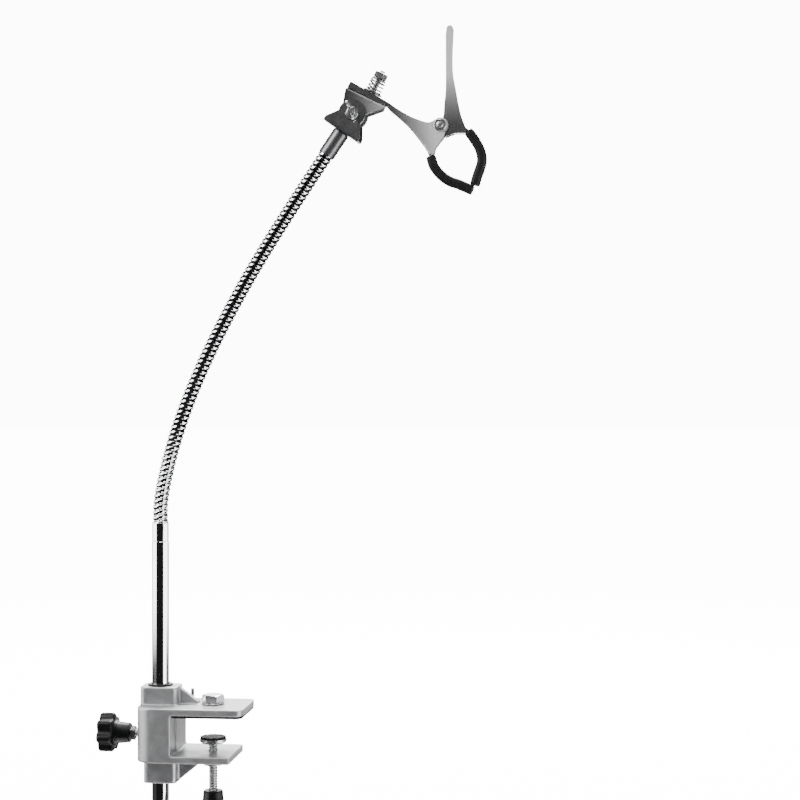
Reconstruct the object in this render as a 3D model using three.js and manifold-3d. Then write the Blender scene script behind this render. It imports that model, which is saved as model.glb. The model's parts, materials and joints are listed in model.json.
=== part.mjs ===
// A flexible arm that holds a nozzle or a small tool in a sprung clip, on a clamp for a table edge.
// Millimetres. +Z is up, +X runs from the table edge in over the table, +Y is the back of the clamp.
// The origin is the middle of the upper jaw pad's flat underside, the face that rests on the table.
import * as THREE from 'three';
import { mergeVertices } from 'three/addons/utils/BufferGeometryUtils.js';
import Module from 'manifold-3d';

const wasm = await Module();
wasm.setup();

// ---------- driving dimensions ----------
const GAP = 0.3;                  // clearance between pieces that touch

// clamp casting, measured from the pole's axis
const PLATE_END = 100;            // how far the upper jaw reaches
const PLATE_HALF_WIDTH = 40;
const PLATE_TOP = 10;
const PAD_THICKNESS = 2;
const SPINE_OUTER = -20;
const SPINE_INNER = 20;
const LOWER_ARM_TOP = -42;
const LOWER_ARM_BOTTOM = -50;
const LOWER_ARM_END = 86;
const UPPER_BOSS = { left: -20, right: 22, halfWidth: 17, top: 30 };
const LOWER_BOSS = { left: -16, right: 21, halfWidth: 17, bottom: -77 };
const RIB_THICKNESS = 8;
const STUD = { x: 31, y: 24, radius: 2, bottom: 4, top: 23 };   // small screw behind the rib
const PAD_BOLT = { acrossFlats: 22, headStart: 2.2, headTop: 10.7, washerRadius: 13, washerTop: 1.9 };
const LOWER_BUSH_TOP = -56;
const PAD_CENTRE_X = 60;          // pole axis to the middle of the jaw pad

// pole
const POLE_RADIUS = 9.5;
const POLE_WALL = 1.5;
const POLE_BOTTOM = -137;
const POLE_TOP = 191;
const BUSH_OUTER = 11.5;
const NECK_START = 212;

// lock screw through the spine, and the table screw through the lower arm
const LOCK_Z = -24;
const LOCK_SCREW_RADIUS = 4;
const LOCK_PAD_THICKNESS = 3;
const LOCK_KNOB_START = 34;
const JAM_NUT = { acrossFlats: 14, start: 28, end: 33 };
const TABLE_SCREW_RADIUS = 5;
const TABLE_THICKNESS = 26;
const TABLE_KNOB_TOP = -86;
const FOOT = { radius: 15, thickness: 5, rubberRadius: 14.5, rubberThickness: 2, socketDepth: 2.5 };
const KNOB = { radius: 22, valley: 17.5, lobes: 7, thickness: 18, hubRadius: 12, hubLength: 17 };

// neck: straight links from hinge to hinge, each with its own lean from the vertical, in degrees
const NECK_RADIUS = 8.5;
const LINK_LENGTH = 57;
const END_LINK_LENGTH = 28;
const LINK_LEANS = [0, 13, 19, 24, 27.5, 30, 32.5, 33.5, 34.5];
const BALL_RADIUS = 7.4;
const CUP_RADIUS = 8;

// swivel head: two U brackets on a ferrule
const FERRULE_RADIUS = 9.4;
const FERRULE_LENGTH = 30.6;
const SOCKET_DEPTH = 8;           // how far the neck enters the ferrule at each end
const BRACKET_SHEET = 2;
const BRACKET_HALF_LENGTH = 23;
const BRACKET_HEIGHT = 23;        // base face to tilt axis
const BRACKET_EYE = 15;
const LOWER_BRACKET_HALF_WIDTH = 13;
const TILT_BOLT_RADIUS = 3;
const WING_NUT_TURN = 147;        // where the wings point at rest, in degrees
const UPPER_LEAN = 26.5;          // lean in degrees of the upper bracket, at rest
const UPPER_SHIFT = 4.5;          // how far the upper bracket's base is shifted towards the clip
const SWIVEL_U = 8.5;             // swivel bolt's place along the upper bracket, towards the clip
const SWIVEL_BOLT_RADIUS = 3;
const SWIVEL_NUT = { acrossFlats: 13, thickness: 7 };
const SWIVEL_WASHER = { lowerRadius: 10.5, upperRadius: 8, thickness: 1.5, bottom: 7.4 };
const SWIVEL_SPRING = { radius: 8, wire: 1.8, height: 13.4, turns: 3.2 };

// clip, in its own plane: origin on the rivet, x along the clip's handle bar, y towards its open side
const CLIP_SHEET = 1.5;
const FIXED_HALF_WIDTH = 8;
const MOVING_HALF_WIDTH = 6.2;
const CLIP_LEAN = 30;             // lean in degrees of the clip's x axis, at rest
const RIVET_U = 93.4;             // tilt axis to rivet, along the upper bracket
const RIVET_HEIGHT = 7.5;         // rivet above the bracket's top face
const RIVET_RADIUS = 3;
const RIVET_HEAD = { radius: 7, height: 1.6 };
const EAR_RADIUS = 8.5;
const SLEEVE = { thickness: 11, width: 15, radius: 4 };
const TONGUE = { thickness: 4, width: 8, radius: 1 };
const HANDLE_BAR = { end: -111, endBottom: -14, straightTo: -62, bottom: -11.01, top: -6.2 };
const HANDLE_TIP = { x: -44.3, y: 97.1, radius: 3.6 };
const FIXED_WEB = [[-57.5, -12.9], [-44.5, -15.4], [-29.7, -18.9], [-12.8, -25.5], [-1.7, -30.5]];
const FIXED_RING_EDGE = [[7, -24], [8.2, -14.8], [9.2, -9.5], [7.9, -3.2]];
const FIXED_TOP = [[-10.6, -1.3], [-14.1, -4.2], [-20.9, -5.9], [-28, -6.9], [-36, -7.7], [-49.3, -7.5]];
const MOVING_WEB = [[-41.2, 99], [-28.7, 74.9], [-18.6, 58.1], [-7.7, 44.9], [11.3, 23.2], [26.3, 10.6]];
const MOVING_RING_EDGE = [[23.5, 3.4], [18.8, 0.6], [14.4, -3.7], [10.6, -8], [5.5, -6.5]];
const MOVING_INNER_EDGE = [[-2.6, 11.5], [-7.9, 22], [-16.5, 40.1], [-45, 89.3]];
const FIXED_JAW = [[0.7, -28.8], [7.2, -34.6], [15.4, -42], [26.3, -46.4], [38.3, -47.8], [49.9, -45.8],
  [66, -44.2]];
const MOVING_JAW = [[20.8, 9.9], [30.5, 9], [42.4, 3.7], [52.1, -2.8], [58.3, -10.7], [61.1, -19.8],
  [62.8, -29.5], [65.2, -38.2]];
const JAW_STEPS = 60;             // places along a jaw's line, counted from the clip
const SLEEVE_START = 7;
const SLEEVE_BORE_END = 56;
const TONGUE_END = 54;
const CLIP_TURN = THREE.MathUtils.degToRad(CLIP_LEAN - UPPER_LEAN);

// ---------- materials ----------
const finish = (name, color, metalness, roughness) =>
  new THREE.MeshStandardMaterial({ name, color, metalness, roughness });

const CAST_ALUMINIUM = finish('cast_aluminium', 0xb9bbbd, 0.9, 0.45);
const CHROME = finish('chrome', 0xe6e8ea, 1, 0.08);
const DARK_NICKEL = finish('dark_nickel', 0x4b4d50, 0.95, 0.3);
const BRIGHT_STEEL = finish('bright_steel', 0xc9cbcd, 1, 0.25);
const BLACK_RUBBER = finish('black_rubber', 0x151515, 0, 0.7);
const BLACK_PLASTIC = finish('black_plastic', 0x111111, 0, 0.4);

// ---------- solids ----------
function toSolid(geometry) {
  const bare = geometry.clone();
  bare.deleteAttribute('normal');
  bare.deleteAttribute('uv');
  const merged = mergeVertices(bare, 1e-4);
  const corners = merged.index.array;
  const kept = [];
  for (let i = 0; i < corners.length; i += 3) {
    const [a, b, c] = [corners[i], corners[i + 1], corners[i + 2]];
    if (a !== b && b !== c && c !== a) kept.push(a, b, c);
  }
  return new wasm.Manifold(new wasm.Mesh({
    numProp: 3,
    vertProperties: Float32Array.from(merged.attributes.position.array),
    triVerts: Uint32Array.from(kept),
  }));
}

function toGeometry(solid) {
  const mesh = solid.getMesh();
  const geometry = new THREE.BufferGeometry();
  geometry.setAttribute('position', new THREE.BufferAttribute(mesh.vertProperties, 3));
  geometry.setIndex(new THREE.BufferAttribute(mesh.triVerts, 1));
  geometry.computeVertexNormals();
  return geometry;
}

const join = (first, ...others) =>
  toGeometry(others.reduce((sum, other) => sum.add(toSolid(other)), toSolid(first)));
const cut = (first, ...tools) =>
  toGeometry(tools.reduce((rest, tool) => rest.subtract(toSolid(tool)), toSolid(first)));
const overlap = (first, second) => toGeometry(toSolid(first).intersect(toSolid(second)));

// An upright cylinder from z0 to z1.
const cylinder = (radius, z0, z1, sides = 24, topRadius = radius) =>
  new THREE.CylinderGeometry(topRadius, radius, z1 - z0, sides)
    .rotateX(Math.PI / 2)
    .translate(0, 0, (z0 + z1) / 2);

// A cylinder along Y, between two Y values.
const crossCylinder = (radius, y0, y1, sides = 24) =>
  cylinder(radius, y0, y1, sides).rotateX(-Math.PI / 2);

const hexPrism = (acrossFlats, z0, z1) => cylinder(acrossFlats / Math.sqrt(3), z0, z1, 6);

const box = (x0, x1, y0, y1, z0, z1) =>
  new THREE.BoxGeometry(x1 - x0, y1 - y0, z1 - z0)
    .translate((x0 + x1) / 2, (y0 + y1) / 2, (z0 + z1) / 2);

const turned = (points, sides = 24) => new THREE.LatheGeometry(points, sides).rotateX(Math.PI / 2);

// A flat outline in the X-Z plane, made thick from y = -halfWidth to y = halfWidth.
function plateAcross(shape, halfWidth, curveSegments = 8) {
  const settings = { depth: 2 * halfWidth, bevelEnabled: false, curveSegments };
  return new THREE.ExtrudeGeometry(shape, settings).rotateX(Math.PI / 2).translate(0, halfWidth, 0);
}

// A flat outline in the X-Y plane, made thick from z0 to z1.
function plateUp(shape, z0, z1, curveSegments = 8) {
  const settings = { depth: z1 - z0, bevelEnabled: false, curveSegments };
  return new THREE.ExtrudeGeometry(shape, settings).translate(0, 0, z0);
}

const outline = (...points) => new THREE.Shape(points.map(([x, y]) => new THREE.Vector2(x, y)));
const moved = (points, dx, dy) => points.map(([x, y]) => new THREE.Vector2(x + dx, y + dy));

// A rectangle with its own corner radius on the left and on the right.
function roundedRectangle(x0, x1, halfWidth, leftRadius, rightRadius = leftRadius) {
  const shape = new THREE.Shape();
  shape.moveTo(x0 + leftRadius, -halfWidth);
  shape.lineTo(x1 - rightRadius, -halfWidth);
  shape.absarc(x1 - rightRadius, -halfWidth + rightRadius, rightRadius, -Math.PI / 2, 0);
  shape.absarc(x1 - rightRadius, halfWidth - rightRadius, rightRadius, 0, Math.PI / 2);
  shape.absarc(x0 + leftRadius, halfWidth - leftRadius, leftRadius, Math.PI / 2, Math.PI);
  shape.absarc(x0 + leftRadius, -halfWidth + leftRadius, leftRadius, Math.PI, 1.5 * Math.PI);
  return shape;
}

function washer(outer, inner, z0, z1) {
  return cut(cylinder(outer, z0, z1), cylinder(inner, z0 - 1, z1 + 1));
}

// A section swept along a route; the section's x runs across the route's plane.
function swept(section, route, steps) {
  return new THREE.ExtrudeGeometry(section, { extrudePath: route, steps, curveSegments: 1 });
}

const routeOf = (points) =>
  new THREE.CatmullRomCurve3(points.map(([x, z]) => new THREE.Vector3(x, 0, z)));

// ---------- scene graph ----------
const assembly = new THREE.Group();
assembly.position.x = -PAD_CENTRE_X;

function add(parent, name, geometry, material) {
  const mesh = new THREE.Mesh(geometry, material);
  mesh.name = name;
  parent.add(mesh);
}

function frameAt(parent, x, y, z, lean = 0) {
  const frame = new THREE.Group();
  frame.position.set(x, y, z);
  frame.rotation.y = lean;
  parent.add(frame);
  return frame;
}

// ---------- clamp ----------
function jawProfile() {
  const jaw = new THREE.Shape();
  const jawRoot = 4;
  const upperFace = PAD_THICKNESS + GAP;
  jaw.moveTo(SPINE_OUTER, LOWER_ARM_BOTTOM);
  jaw.lineTo(PLATE_END, LOWER_ARM_BOTTOM);
  jaw.lineTo(PLATE_END, LOWER_ARM_TOP);
  jaw.lineTo(SPINE_INNER + jawRoot, LOWER_ARM_TOP);
  jaw.absarc(SPINE_INNER + jawRoot, LOWER_ARM_TOP + jawRoot, jawRoot, -Math.PI / 2, Math.PI, true);
  jaw.lineTo(SPINE_INNER, upperFace);
  jaw.lineTo(PLATE_END, upperFace);
  jaw.lineTo(PLATE_END, PLATE_TOP);
  jaw.lineTo(SPINE_OUTER, PLATE_TOP);
  return jaw;
}

function clampCasting() {
  const plan = plateUp(roundedRectangle(SPINE_OUTER, PLATE_END, PLATE_HALF_WIDTH, 18, 8), -60, 20, 6);
  const jaws = overlap(plateAcross(jawProfile(), PLATE_HALF_WIDTH, 4), plan);
  const upperBoss = roundedRectangle(UPPER_BOSS.left, UPPER_BOSS.right, UPPER_BOSS.halfWidth, 6);
  const lowerBoss = roundedRectangle(LOWER_BOSS.left, LOWER_BOSS.right, LOWER_BOSS.halfWidth, 5);
  const upperRib = outline([UPPER_BOSS.right - 1, PLATE_TOP - 1], [45.5, PLATE_TOP - 1], [44, 13],
    [UPPER_BOSS.right, UPPER_BOSS.top - 1], [UPPER_BOSS.right - 1, UPPER_BOSS.top - 1]);
  const lowerRib = outline([LOWER_BOSS.right - 1, LOWER_ARM_BOTTOM + 1], [LOWER_BOSS.right - 1, -76],
    [LOWER_BOSS.right, -76], [48, LOWER_ARM_BOTTOM - 4], [50, LOWER_ARM_BOTTOM + 1]);
  const screwBoss = cylinder(11, LOWER_ARM_BOTTOM - 8, LOWER_ARM_BOTTOM + 1).translate(PAD_CENTRE_X, 0, 0);
  const body = join(jaws, plateUp(upperBoss, PLATE_TOP - 1, UPPER_BOSS.top, 4),
    plateUp(lowerBoss, LOWER_BOSS.bottom, LOWER_ARM_BOTTOM + 1, 4),
    plateAcross(upperRib, RIB_THICKNESS / 2), plateAcross(lowerRib, RIB_THICKNESS / 2), screwBoss);
  const armEnd = box(LOWER_ARM_END, PLATE_END + 1, -50, 50, LOWER_ARM_BOTTOM - 1, LOWER_ARM_TOP + 1);
  const poleBore = cylinder(POLE_RADIUS + 0.8, LOWER_BOSS.bottom - 1, UPPER_BOSS.top + 1);
  const upperSeat = cylinder(BUSH_OUTER + GAP, PLATE_TOP - 5, UPPER_BOSS.top + 1);
  const lowerSeat = cylinder(BUSH_OUTER + GAP, LOWER_BOSS.bottom - 1, LOWER_BUSH_TOP);
  const lockBore = cylinder(LOCK_SCREW_RADIUS + 0.4, 0, 30, 16).rotateY(-Math.PI / 2).translate(0, 0, LOCK_Z);
  const screwBore = cylinder(TABLE_SCREW_RADIUS + GAP, -60, -40).translate(PAD_CENTRE_X, 0, 0);
  const boltBore = cylinder(TABLE_SCREW_RADIUS + GAP, 0, 20).translate(PAD_CENTRE_X, 0, 0);
  const studHole = cylinder(STUD.radius + GAP, STUD.bottom, 20, 12).translate(STUD.x, STUD.y, 0);
  return cut(body, armEnd, poleBore, upperSeat, lowerSeat, lockBore, screwBore, boltBore, studHole);
}

// A knob with round lobes on a tapered hub. It stands on z = 0 with its hub down, with a blind bore.
function starKnob(boreRadius) {
  const star = new THREE.Shape();
  const pointsPerLobe = 4;
  const count = KNOB.lobes * pointsPerLobe;
  const middle = (KNOB.radius + KNOB.valley) / 2;
  const swing = (KNOB.radius - KNOB.valley) / 2;
  for (let i = 0; i < count; i++) {
    const angle = (2 * Math.PI * i) / count;
    const radius = middle + swing * Math.cos(KNOB.lobes * angle);
    const place = [radius * Math.cos(angle), radius * Math.sin(angle)];
    if (i === 0) star.moveTo(...place);
    else star.lineTo(...place);
  }
  const bevel = 2.5;
  const head = new THREE.ExtrudeGeometry(star, {
    depth: KNOB.thickness - 2 * bevel, bevelThickness: bevel, bevelSize: bevel, bevelOffset: -bevel,
    bevelSegments: 1,
  }).translate(0, 0, KNOB.hubLength + bevel);
  const hub = cylinder(KNOB.hubRadius - 1, 0, KNOB.hubLength + 2, 24, KNOB.hubRadius + 1);
  return cut(join(head, hub), cylinder(boreRadius, -1, KNOB.hubLength, 16));
}

function addClamp() {
  const clamp = frameAt(assembly, 0, 0, 0);
  add(clamp, 'clamp_casting', clampCasting(), CAST_ALUMINIUM);
  const pad = roundedRectangle(SPINE_INNER + 1, PLATE_END - 0.5, PLATE_HALF_WIDTH - 0.5, 3, 7.5);
  add(clamp, 'jaw_pad', plateUp(pad, 0, PAD_THICKNESS, 4), BLACK_RUBBER);

  const bolt = frameAt(clamp, PAD_CENTRE_X, 0, PLATE_TOP);
  const { acrossFlats, headStart, headTop, washerRadius, washerTop } = PAD_BOLT;
  const boltWasher = washer(washerRadius, TABLE_SCREW_RADIUS + GAP, GAP, washerTop);
  add(bolt, 'pad_bolt_washer', boltWasher, BRIGHT_STEEL);
  const boltHead = hexPrism(acrossFlats, headStart, headTop);
  add(bolt, 'pad_bolt', join(boltHead, cylinder(TABLE_SCREW_RADIUS, -7, 3)), BRIGHT_STEEL);
  const stud = cylinder(STUD.radius, STUD.bottom + GAP, STUD.top, 12).translate(STUD.x, STUD.y, 0);
  add(clamp, 'rib_stud', stud, DARK_NICKEL);

  const lowerBush = washer(BUSH_OUTER, POLE_RADIUS + GAP, LOWER_BOSS.bottom, LOWER_BUSH_TOP - GAP);
  add(clamp, 'lower_bush', lowerBush, BLACK_PLASTIC);
}

function addLockScrew() {
  const lock = frameAt(assembly, 0, 0, LOCK_Z, -Math.PI / 2);
  const padStart = POLE_RADIUS + GAP;
  const padEnd = padStart + LOCK_PAD_THICKNESS;
  add(lock, 'lock_tip_pad', cylinder(LOCK_SCREW_RADIUS, padStart, padEnd, 16), BLACK_PLASTIC);
  const screwEnd = LOCK_KNOB_START + KNOB.hubLength - GAP;
  add(lock, 'lock_screw', cylinder(LOCK_SCREW_RADIUS, padEnd + GAP, screwEnd, 16), BRIGHT_STEEL);
  const { acrossFlats, start, end } = JAM_NUT;
  const nutBore = cylinder(LOCK_SCREW_RADIUS + GAP, start - 1, end + 1, 16);
  add(lock, 'lock_jam_nut', cut(hexPrism(acrossFlats, start, end), nutBore), DARK_NICKEL);
  const knob = starKnob(LOCK_SCREW_RADIUS + GAP).translate(0, 0, LOCK_KNOB_START);
  add(lock, 'lock_knob', knob, BLACK_PLASTIC);
}

function addTableScrew() {
  const screw = frameAt(assembly, PAD_CENTRE_X, 0, 0);
  const top = -TABLE_THICKNESS;
  const discTop = top - FOOT.rubberThickness - GAP;
  const discBottom = discTop - FOOT.thickness;
  add(screw, 'foot_rubber', cylinder(FOOT.rubberRadius, top - FOOT.rubberThickness, top), BLACK_RUBBER);
  const socketTop = discBottom + FOOT.socketDepth;
  const socket = cylinder(TABLE_SCREW_RADIUS + GAP, discBottom - 1, socketTop, 16);
  add(screw, 'foot_disc', cut(cylinder(FOOT.radius, discBottom, discTop), socket), BRIGHT_STEEL);
  const screwTop = socketTop - GAP;
  const screwBottom = TABLE_KNOB_TOP - KNOB.hubLength + GAP;
  add(screw, 'clamp_screw', cylinder(TABLE_SCREW_RADIUS, screwBottom, screwTop, 16), BRIGHT_STEEL);
  const knob = starKnob(TABLE_SCREW_RADIUS + GAP).rotateX(Math.PI).translate(0, 0, TABLE_KNOB_TOP);
  add(screw, 'clamp_knob', knob, BLACK_PLASTIC);
}

// ---------- pole ----------
function addPole() {
  const pole = frameAt(assembly, 0, 0, 0);
  const flangeTop = UPPER_BOSS.top + 2;
  const bushBody = join(cylinder(BUSH_OUTER, PLATE_TOP - 5 + GAP, flangeTop),
    cylinder(14, UPPER_BOSS.top + GAP, flangeTop));
  add(pole, 'pole_bush', cut(bushBody, cylinder(POLE_RADIUS + GAP, 0, 40)), BLACK_PLASTIC);

  const bore = POLE_RADIUS - POLE_WALL;
  const tube = cut(cylinder(POLE_RADIUS, POLE_BOTTOM, POLE_TOP, 32), cylinder(bore, -200, 200, 32));
  add(pole, 'pole_tube', tube, CHROME);

  const plugRadius = bore - GAP;
  const cap = join(cylinder(10.5, POLE_BOTTOM - 5, POLE_BOTTOM - GAP),
    cylinder(plugRadius, POLE_BOTTOM - 1, POLE_BOTTOM + 12));
  add(pole, 'pole_end_cap', cap, BLACK_PLASTIC);

  const collar = join(cylinder(9.3, POLE_TOP + GAP, NECK_START),
    cylinder(plugRadius, POLE_TOP - 15, POLE_TOP + 1));
  const neckSocket = cylinder(NECK_RADIUS + GAP, NECK_START - SOCKET_DEPTH, NECK_START + 1);
  add(pole, 'pole_ferrule', cut(collar, neckSocket), CHROME);
}

// ---------- neck ----------
// One link on the z axis: a ball around its lower hinge, z = 0, and a cup around its upper one.
function neckLink(length, hasBall, hasCup) {
  const shoulder = 1.5;
  const rim = 2.2;
  const arcSteps = 4;
  const profile = [];
  if (hasBall) {
    const top = Math.asin(shoulder / BALL_RADIUS);
    for (let i = 0; i <= arcSteps; i++) {
      const angle = -Math.PI / 2 + ((top + Math.PI / 2) * i) / arcSteps;
      const x = i === 0 ? 0 : BALL_RADIUS * Math.cos(angle);
      profile.push(new THREE.Vector2(x, BALL_RADIUS * Math.sin(angle)));
    }
    profile.push(new THREE.Vector2(NECK_RADIUS, shoulder));
  } else {
    const foot = -SOCKET_DEPTH + GAP;
    profile.push(new THREE.Vector2(0, foot), new THREE.Vector2(NECK_RADIUS, foot));
  }
  if (hasCup) {
    profile.push(new THREE.Vector2(NECK_RADIUS, length - rim));
    const top = -Math.asin(rim / CUP_RADIUS);
    for (let i = 0; i <= arcSteps; i++) {
      const angle = top + ((-Math.PI / 2 - top) * i) / arcSteps;
      const x = i === arcSteps ? 0 : CUP_RADIUS * Math.cos(angle);
      profile.push(new THREE.Vector2(x, length + CUP_RADIUS * Math.sin(angle)));
    }
  } else {
    const end = length + SOCKET_DEPTH - GAP;
    profile.push(new THREE.Vector2(NECK_RADIUS, end), new THREE.Vector2(0, end));
  }
  return join(turned(profile, 12));
}

// Adds the links one after another and returns where the last one ends.
function addNeck() {
  const place = new THREE.Vector3(0, 0, NECK_START);
  LINK_LEANS.forEach((degrees, index) => {
    const lean = THREE.MathUtils.degToRad(degrees);
    const isFirst = index === 0;
    const isLast = index === LINK_LEANS.length - 1;
    const length = isFirst || isLast ? END_LINK_LENGTH : LINK_LENGTH;
    const link = frameAt(assembly, place.x, 0, place.z, lean);
    add(link, `neck_link_${index + 1}`, neckLink(length, !isFirst, !isLast), CHROME);
    place.x += length * Math.sin(lean);
    place.z += length * Math.cos(lean);
  });
  return place;
}

// ---------- swivel head ----------
// The side of a U bracket: a trapezoid on z = 0 that ends in a round eye about the tilt axis.
function bracketSide(shift) {
  const shape = new THREE.Shape();
  const flankEnd = Math.PI / 9;
  const cornerHeight = 5;
  const taper = 0.5;
  shape.moveTo(shift - BRACKET_HALF_LENGTH, 0);
  shape.lineTo(shift + BRACKET_HALF_LENGTH, 0);
  shape.lineTo(shift + BRACKET_HALF_LENGTH - taper, cornerHeight);
  shape.absarc(0, BRACKET_HEIGHT, BRACKET_EYE, -flankEnd, Math.PI + flankEnd);
  shape.lineTo(shift - BRACKET_HALF_LENGTH + taper, cornerHeight);
  return shape;
}

// A U bracket standing on z = 0, with its tilt hole across and one hole in its base.
function bracket(halfWidth, shift, baseHoleX, baseHoleRadius) {
  const inner = halfWidth - BRACKET_SHEET;
  const space = box(-50, 50, -inner, inner, BRACKET_SHEET, 60);
  const tiltHole = crossCylinder(TILT_BOLT_RADIUS + GAP, -30, 30, 16).translate(0, 0, BRACKET_HEIGHT);
  const baseHole = cylinder(baseHoleRadius, -1, BRACKET_SHEET + 1, 16).translate(baseHoleX, 0, 0);
  return cut(plateAcross(bracketSide(shift), halfWidth, 10), space, tiltHole, baseHole);
}

function wingNut(boreRadius) {
  const wing = new THREE.Shape();
  wing.moveTo(0, 0);
  wing.lineTo(5, 0);
  wing.lineTo(10.5, 3.5);
  wing.absarc(10, 7.5, 3.2, -Math.PI / 3, 0.75 * Math.PI);
  wing.lineTo(4, 6);
  wing.lineTo(0, 6);
  const right = plateAcross(wing, 1.2, 5);
  const left = right.clone().rotateZ(Math.PI);
  return cut(join(cylinder(5.6, 0, 6.5, 20, 4.8), right, left), cylinder(boreRadius, -1, 8, 16));
}

// A steel compression spring round the z axis.
function spring(radius, wire, z0, z1, turns) {
  class Helix extends THREE.Curve {
    getPoint(t, target = new THREE.Vector3()) {
      const angle = 2 * Math.PI * turns * t;
      const height = z0 + wire / 2 + (z1 - z0 - wire) * t;
      return target.set(radius * Math.cos(angle), radius * Math.sin(angle), height);
    }
  }
  const section = new THREE.Shape();
  section.absarc(0, 0, wire / 2, 0, 2 * Math.PI);
  const settings = { extrudePath: new Helix(), steps: Math.round(turns * 12), curveSegments: 3 };
  return new THREE.ExtrudeGeometry(section, settings);
}

function addHead(place) {
  const lean = THREE.MathUtils.degToRad(LINK_LEANS.at(-1));
  const head = frameAt(assembly, place.x, 0, place.z, lean);
  const ferrule = cut(cylinder(FERRULE_RADIUS, 0, FERRULE_LENGTH),
    cylinder(NECK_RADIUS + GAP, -1, SOCKET_DEPTH),
    cylinder(2 + GAP, FERRULE_LENGTH - 12, FERRULE_LENGTH + 1, 12));
  add(head, 'head_ferrule', ferrule, DARK_NICKEL);

  const base = frameAt(head, 0, 0, FERRULE_LENGTH + GAP);
  add(base, 'lower_bracket', bracket(LOWER_BRACKET_HALF_WIDTH, 0, 0, 2.5), DARK_NICKEL);
  const screwHead = cylinder(5, BRACKET_SHEET + GAP, BRACKET_SHEET + 3, 16, 4);
  add(base, 'bracket_screw', join(screwHead, cylinder(2, -10, BRACKET_SHEET + 1, 12)), BRIGHT_STEEL);

  const axis = frameAt(base, 0, 0, BRACKET_HEIGHT);
  const outside = LOWER_BRACKET_HALF_WIDTH;
  const boltHead = hexPrism(10, 0, 4).rotateX(-Math.PI / 2).translate(0, outside + GAP, 0);
  const boltShank = crossCylinder(TILT_BOLT_RADIUS, -outside - 11, outside + 1, 16);
  add(axis, 'tilt_bolt', join(boltHead, boltShank), BRIGHT_STEEL);
  const across = frameAt(axis, 0, -outside, 0);
  across.rotation.x = Math.PI / 2;
  add(across, 'wing_washer', washer(7, TILT_BOLT_RADIUS + GAP, GAP, 1.8), BRIGHT_STEEL);
  const nut = wingNut(TILT_BOLT_RADIUS + GAP).rotateZ(THREE.MathUtils.degToRad(WING_NUT_TURN));
  add(across, 'wing_nut', nut.translate(0, 0, 2.1), BRIGHT_STEEL);

  const tilted = frameAt(axis, 0, 0, 0, THREE.MathUtils.degToRad(UPPER_LEAN) - lean);
  const upperHalfWidth = LOWER_BRACKET_HALF_WIDTH - BRACKET_SHEET - GAP;
  const upper = bracket(upperHalfWidth, -UPPER_SHIFT, -SWIVEL_U, SWIVEL_BOLT_RADIUS + GAP);
  upper.rotateY(Math.PI).translate(0, 0, BRACKET_HEIGHT);
  add(tilted, 'upper_bracket', upper, DARK_NICKEL);
  addSwivel(frameAt(tilted, SWIVEL_U, 0, BRACKET_HEIGHT));
  addClip(frameAt(tilted, RIVET_U, 0, BRACKET_HEIGHT + RIVET_HEIGHT, CLIP_TURN));
}

// The bolt that carries the clip; z = 0 is the upper bracket's top face.
function addSwivel(place) {
  const hole = SWIVEL_BOLT_RADIUS + GAP;
  const { lowerRadius, upperRadius, thickness, bottom } = SWIVEL_WASHER;
  add(place, 'swivel_lower_washer', washer(lowerRadius, hole, bottom, bottom + thickness), DARK_NICKEL);
  const { radius, wire, height, turns } = SWIVEL_SPRING;
  const springStart = bottom + thickness + GAP;
  const springEnd = springStart + height;
  add(place, 'swivel_spring', spring(radius, wire, springStart, springEnd, turns), DARK_NICKEL);
  const upper = washer(upperRadius, hole, springEnd + GAP, springEnd + GAP + thickness);
  add(place, 'swivel_upper_washer', upper, DARK_NICKEL);
  const nutStart = springEnd + GAP + thickness + GAP;
  const nutTop = nutStart + SWIVEL_NUT.thickness;
  const nut = cut(hexPrism(SWIVEL_NUT.acrossFlats, nutStart, nutTop), cylinder(hole, 0, nutTop + 1, 16));
  add(place, 'swivel_nut', nut, BRIGHT_STEEL);
  const headTop = -BRACKET_SHEET - GAP;
  const shank = cylinder(SWIVEL_BOLT_RADIUS, headTop - 1, nutTop + 2.4, 16);
  add(place, 'swivel_bolt', join(hexPrism(10, headTop - 4, headTop), shank), BRIGHT_STEEL);
}

// ---------- clip ----------
// The outline of the fixed half, or with an inset that of the space between its two walls.
function fixedProfile(inset) {
  const shape = new THREE.Shape();
  const { end, endBottom, straightTo, bottom, top } = HANDLE_BAR;
  shape.moveTo(end + inset, endBottom + inset);
  shape.lineTo(straightTo, bottom + inset);
  shape.splineThru(moved(FIXED_WEB, inset * 0.2, inset));
  if (inset) {
    shape.lineTo(2.3, -28.7);
    shape.lineTo(29, -12);
    shape.lineTo(29, 30);
    shape.lineTo(end + inset, 30);
    return shape;
  }
  shape.lineTo(4.1, -33.7);
  shape.lineTo(9.2, -30.8);
  shape.splineThru(moved(FIXED_RING_EDGE, 0, 0));
  shape.absarc(0, 0, EAR_RADIUS, -0.12 * Math.PI, 0.9 * Math.PI);
  shape.splineThru(moved(FIXED_TOP, 0, 0));
  shape.lineTo(straightTo, top);
  shape.lineTo(end, top);
  return shape;
}

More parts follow.
